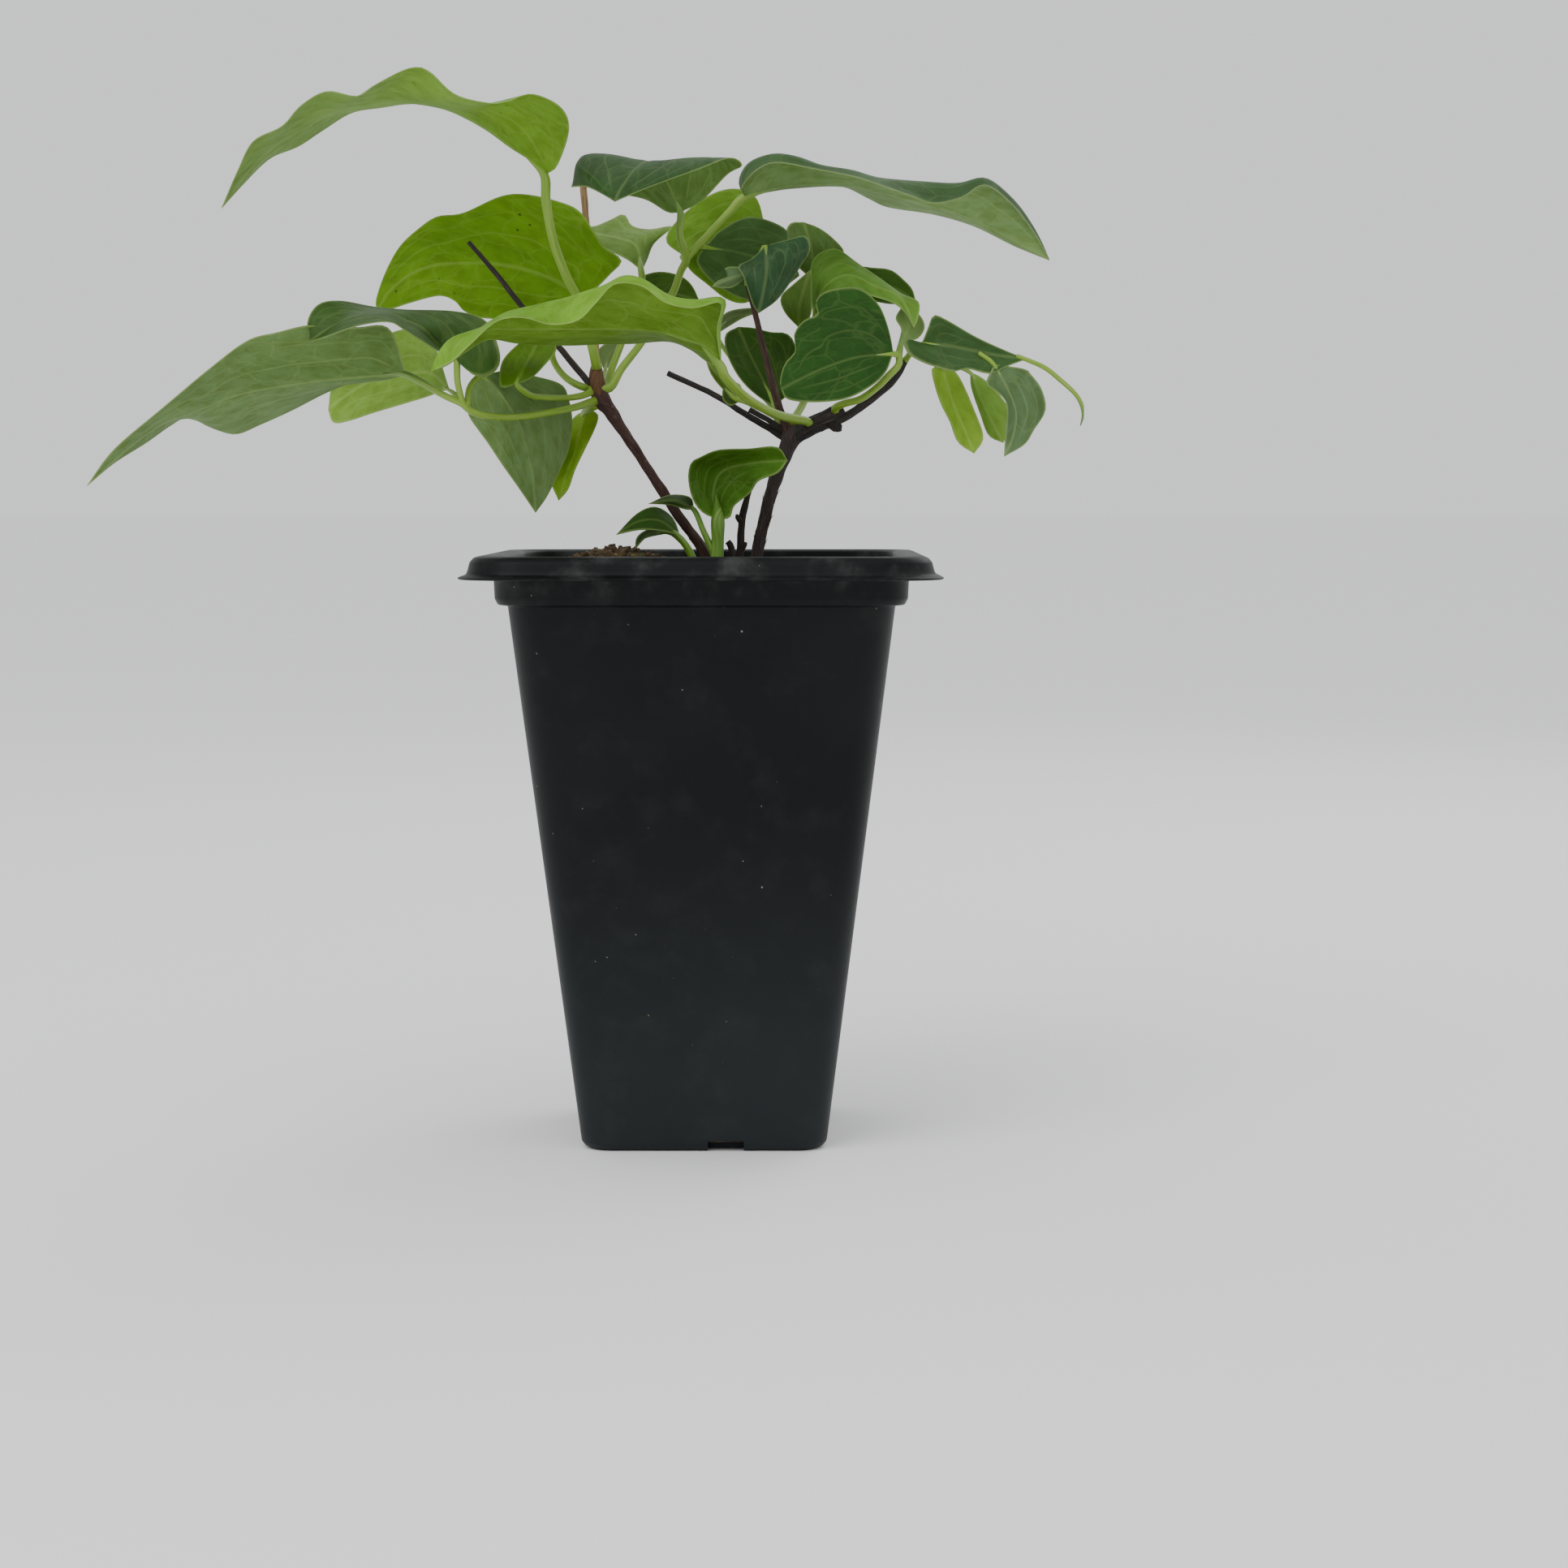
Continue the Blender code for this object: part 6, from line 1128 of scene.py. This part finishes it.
def scatter(name, ground, unit, material, density, seed, smallest, largest):
    """Copies of a small unit strewn over the ground by Geometry Nodes, as one plain mesh."""
    tree = bpy.data.node_groups.new(name, "GeometryNodeTree")
    wires = tree.interface
    wires.new_socket("Ground", in_out="INPUT", socket_type="NodeSocketGeometry")
    sizes = {"Density": density, "Seed": seed, "Smallest": smallest, "Largest": largest}
    sockets = {}
    for label in sizes:
        kind = "NodeSocketInt" if label == "Seed" else "NodeSocketFloat"
        sockets[label] = wires.new_socket(label, in_out="INPUT", socket_type=kind).identifier
    wires.new_socket("Strewn", in_out="OUTPUT", socket_type="NodeSocketGeometry")
    given = add(tree, "NodeGroupInput").outputs
    spots = add(tree, "GeometryNodeDistributePointsOnFaces",
                {"Mesh": given["Ground"], "Density": given["Density"], "Seed": given["Seed"]})
    turned = add(tree, "FunctionNodeRandomValue", {0: (0, 0, 0), 1: (6.3, 6.3, 6.3), "Seed": given["Seed"]},
                 data_type="FLOAT_VECTOR")
    sized = add(tree, "FunctionNodeRandomValue", {2: given["Smallest"], 3: given["Largest"],
                                                  "Seed": given["Seed"]}, data_type="FLOAT")
    shape = add(tree, "GeometryNodeObjectInfo", {"Object": unit})
    copies = add(tree, "GeometryNodeInstanceOnPoints",
                 {"Points": spots.outputs["Points"], "Instance": shape.outputs["Geometry"],
                  "Rotation": turned.outputs[0], "Scale": sized.outputs[1]})
    real = add(tree, "GeometryNodeRealizeInstances", {"Geometry": copies.outputs[0]})
    coated = add(tree, "GeometryNodeSetMaterial", {"Geometry": real.outputs[0], "Material": material})
    add(tree, "NodeGroupOutput", {0: coated.outputs[0]})
    strewing = ground.modifiers.new(name, "NODES")
    strewing.node_group = tree
    for label, value in sizes.items():
        strewing[sockets[label]] = value
    depsgraph = bpy.context.evaluated_depsgraph_get()
    mesh = bpy.data.meshes.new_from_object(ground.evaluated_get(depsgraph))
    ground.modifiers.remove(strewing)
    thing = bpy.data.objects.new(name, mesh)
    bpy.context.scene.collection.objects.link(thing)
    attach(thing, "root")
    return thing


def top_of(mix, name, chosen):
    """The faces of the mix's top whose middle, in mm, is chosen."""
    ground = mix.copy()
    ground.data = mix.data.copy()
    bpy.context.scene.collection.objects.link(ground)
    work = bmesh.new()
    work.from_mesh(ground.data)
    lower = [face for face in work.faces
             if face.normal.z < 0.3 or not chosen(face.calc_center_median() / MM)]
    bmesh.ops.delete(work, geom=lower, context="FACES")
    work.to_mesh(ground.data)
    work.free()
    ground.name = name
    return ground


def rough_lump(name, sizes, seed):
    """A small uneven lump, sizes in mm."""
    work = bmesh.new()
    bmesh.ops.create_icosphere(work, subdivisions=1, radius=1.0)
    for corner in work.verts:
        corner.co *= 1.0 + 0.45 * noise.noise(corner.co * 1.7 + Vector((seed, 0, 0)))
        corner.co = Vector([c * size / 2 * MM for c, size in zip(corner.co, sizes)])
    mesh = bpy.data.meshes.new(name)
    work.to_mesh(mesh)
    work.free()
    thing = bpy.data.objects.new(name, mesh)
    bpy.context.scene.collection.objects.link(thing)
    return thing


def dress_soil(mix, clods_material, moss_material):
    """Crumbs and bark chips over the top, clods on the heap and moss beside them."""
    made = []
    crumb = rough_lump("crumb", (1.5, 1.2, 1.0), 3.0)
    chip = rough_lump("chip", (4.2, 1.5, 0.7), 8.0)
    clod = rough_lump("clod", (3.0, 2.6, 2.3), 5.0)
    tuft = rough_lump("tuft", (0.5, 0.5, 2.0), 6.0)
    everywhere = top_of(mix, "whole_top", lambda p: max(abs(p.x), abs(p.y)) < 38.5)
    heap = top_of(mix, "heap_top", lambda p: -32 < p.x < -9 and -8 < p.y < 13)
    mossy = top_of(mix, "moss_top", lambda p: max(abs(p.x), abs(p.y)) < 38.5 and
                   (noise.noise(Vector((p.x, p.y, 4)) / 13) > 0.18 or (-13 < p.x < -4 and -1 < p.y < 9)))
    made.append(scatter("mix_crumbs", everywhere, crumb, clods_material, 240000, 2, 0.5, 1.3))
    made.append(scatter("bark_chips", everywhere, chip, clods_material, 55000, 5, 0.5, 1.1))
    made.append(scatter("mix_clods", heap, clod, clods_material, 190000, 7, 0.6, 1.25))
    made.append(scatter("moss_tufts", mossy, tuft, moss_material, 1500000, 11, 0.5, 1.1))
    for thing in (crumb, chip, clod, tuft, everywhere, heap, mossy):
        bpy.data.objects.remove(thing)
    return made


def loose_bark(skin, stem, count, seed, tone):
    """Thin strips of bark that peel away from an old cane at one end."""
    draw = random.Random(seed)
    places = smooth_path(route_of(stem), 60)
    for _ in range(count):
        at = draw.randint(6, 50)
        ahead = (places[at + 3] - places[at]).to_3d().normalized()
        turn = ahead.orthogonal().normalized()
        side = ahead.cross(turn)
        angle = draw.uniform(0, math.tau)
        out = turn * math.cos(angle) + side * math.sin(angle)
        wide = ahead.cross(out)
        base = places[at].to_3d() + out * places[at].w * 0.93
        length, half = draw.uniform(1.6, 3.6), draw.uniform(0.2, 0.45)
        strip = []
        for k in range(6):
            t = k / 5
            lift = draw.uniform(0.25, 0.6) * t ** 2 if k == 5 else 0.35 * t ** 2
            middle = base + ahead * length * t * MM + out * lift * MM
            thin = 0.12 * MM
            edge = wide * half * (1 - 0.75 * t) * MM
            strip.append([skin.put(middle + edge * a + out * thin * b, linear(tone), (a, length * t, 0))
                          for a, b in ((-1, 0), (1, 0), (1, 1), (-1, 1))])
        for near, far in zip(strip, strip[1:]):
            for k in range(4):
                skin.face((near[k], near[(k + 1) % 4], far[(k + 1) % 4], far[k]), 0)
        skin.face(strip[0], 0, True)
        skin.face(strip[-1], 0)


def grow_cane(node, parts, bark, tone=None):
    """A cane with its stubs and twigs, ridged bark, husks and pale cut ends."""
    skin = Skin()
    for part, stem in parts.items():
        relief = husk_relief if part == "sheath" else bark_relief
        sides = 20 if stem[0][3] > 1.0 else 12
        colour = tone if tone and part == "cane" else CANE_TONES[part]
        grow_stem(skin, stem, colour, 0, sides, relief, CUT_TONE, cut=True)
    if node in PEELING:
        loose_bark(skin, parts["cane"], PEELING[node], len(node), "#4A3A30")
    piece = skin.piece(node + "_barked", [bark])
    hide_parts(node)
    return piece


def rooted(stem):
    """The stalk begun a little swollen inside the nearest cane."""
    start = Vector(stem[0][:3])
    wood = [smooth_path([Vector(p[:3]) for p in part], 40)
            for part in (*CANE_LEFT.values(), *CANE_RIGHT.values())]
    nearest = min((place for path in wood for place in path), key=lambda place: (place - start).length)
    return [(*nearest, stem[0][3] * ROOT_SWELL), *stem]


def grow_spray(node, spray, leaf, stalk):
    """One leafy growth: its stalks and its veined blades."""
    skin, looks = Skin(), TONES[node]
    young = node in YOUNG_SHOOTS
    for k, stem in enumerate(spray["stems"]):
        drawn_out = [*stem[:-1], (*stem[-1][:3], STALK_END)]
        route = drawn_out if young or k else rooted(drawn_out)
        blade_tone = looks[min(k, len(looks) - 1)][1]
        grow_stem(skin, route, YOUNG_STALK_TONE if young else STALK_TONE, 1, 12, stalk_relief, blade_tone)
    for k, (lines, look) in enumerate(zip(spray["blades"], looks)):
        midrib = MIDRIB_LINE.get((node, k), (len(lines) - 1) // 2)
        grow_blade(skin, lines, midrib, *look, k + 1, TIP_TONES.get((node, k)), RELIEF.get((node, k), 1.0))
    piece = skin.piece(node + "_living", [leaf, stalk])
    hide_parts(node)
    return piece


def lay_floor():
    """A wide pale floor to stand on."""
    bpy.ops.mesh.primitive_plane_add(size=40)
    floor = bpy.context.object
    floor.name = "pale_floor"
    material, tree, shader = new_material("matt_white_paint")
    shader.inputs["Base Color"].default_value = linear("#FCFCFB")
    shader.inputs["Roughness"].default_value = 0.9
    floor.data.materials.append(material)


def shine(name, place, aim, size, watts):
    """A square soft light at a place, in metres, turned to its aim."""
    lamp = bpy.data.lights.new(name, "AREA")
    lamp.size = size
    lamp.energy = watts
    thing = bpy.data.objects.new(name, lamp)
    thing.location = place
    thing.rotation_euler = (Vector(aim) - Vector(place)).to_track_quat("-Z", "Y").to_euler()
    bpy.context.scene.collection.objects.link(thing)


def set_camera():
    """The camera where the photograph's eye was."""
    lens = bpy.data.cameras.new("eye")
    lens.lens = LENS_MM
    lens.sensor_width = 36.0
    lens.clip_start = 0.01
    camera = bpy.data.objects.new("eye", lens)
    camera.location = EYE * MM
    camera.rotation_euler = Euler((math.pi / 2 - EYE_DOWN, 0.0, 0.0))
    bpy.context.scene.collection.objects.link(camera)
    bpy.context.scene.camera = camera


def light_room():
    """Even white room light with a large soft light above the left shoulder."""
    world = bpy.data.worlds.new("white_room")
    world.use_nodes = True
    sky = world.node_tree.nodes["Background"]
    sky.inputs["Color"].default_value = linear("#FAFBFC")
    sky.inputs["Strength"].default_value = 1.0
    bpy.context.scene.world = world
    shine("key", (-0.45, -0.65, 0.95), (0, 0, 0.14), 0.7, 5.0)
    shine("back", (0.5, 0.7, 0.8), (0, 0, 0.16), 0.6, 2.5)


set_camera()
light_room()
lay_floor()
mould_pot()
peat = earthy("peat_and_bark", "#1C1612", "#3F3126", "#66523A", 1.3)
chips = earthy("composted_bark", "#33261A", "#664F35", "#927850", 0.9)
moss = earthy("cushion_moss", "#39480F", "#61762A", "#8C9A44", 0.8)
dress_soil(fill_pot(peat), chips, moss)
bark = stringy_bark()
grow_cane("cane_left", CANE_LEFT, bark)
grow_cane("cane_right", CANE_RIGHT, bark, RIGHT_CANE_TONE)
grow_cane("cane_stub_tall", STUB_TALL, bark)
grow_cane("cane_stub_short", STUB_SHORT, bark)
leaf_tissue = clematis_leaf()
stalk_tissue = leaf_stalk()
for node, spray in LEAVES.items():
    grow_spray(node, spray, leaf_tissue, stalk_tissue)
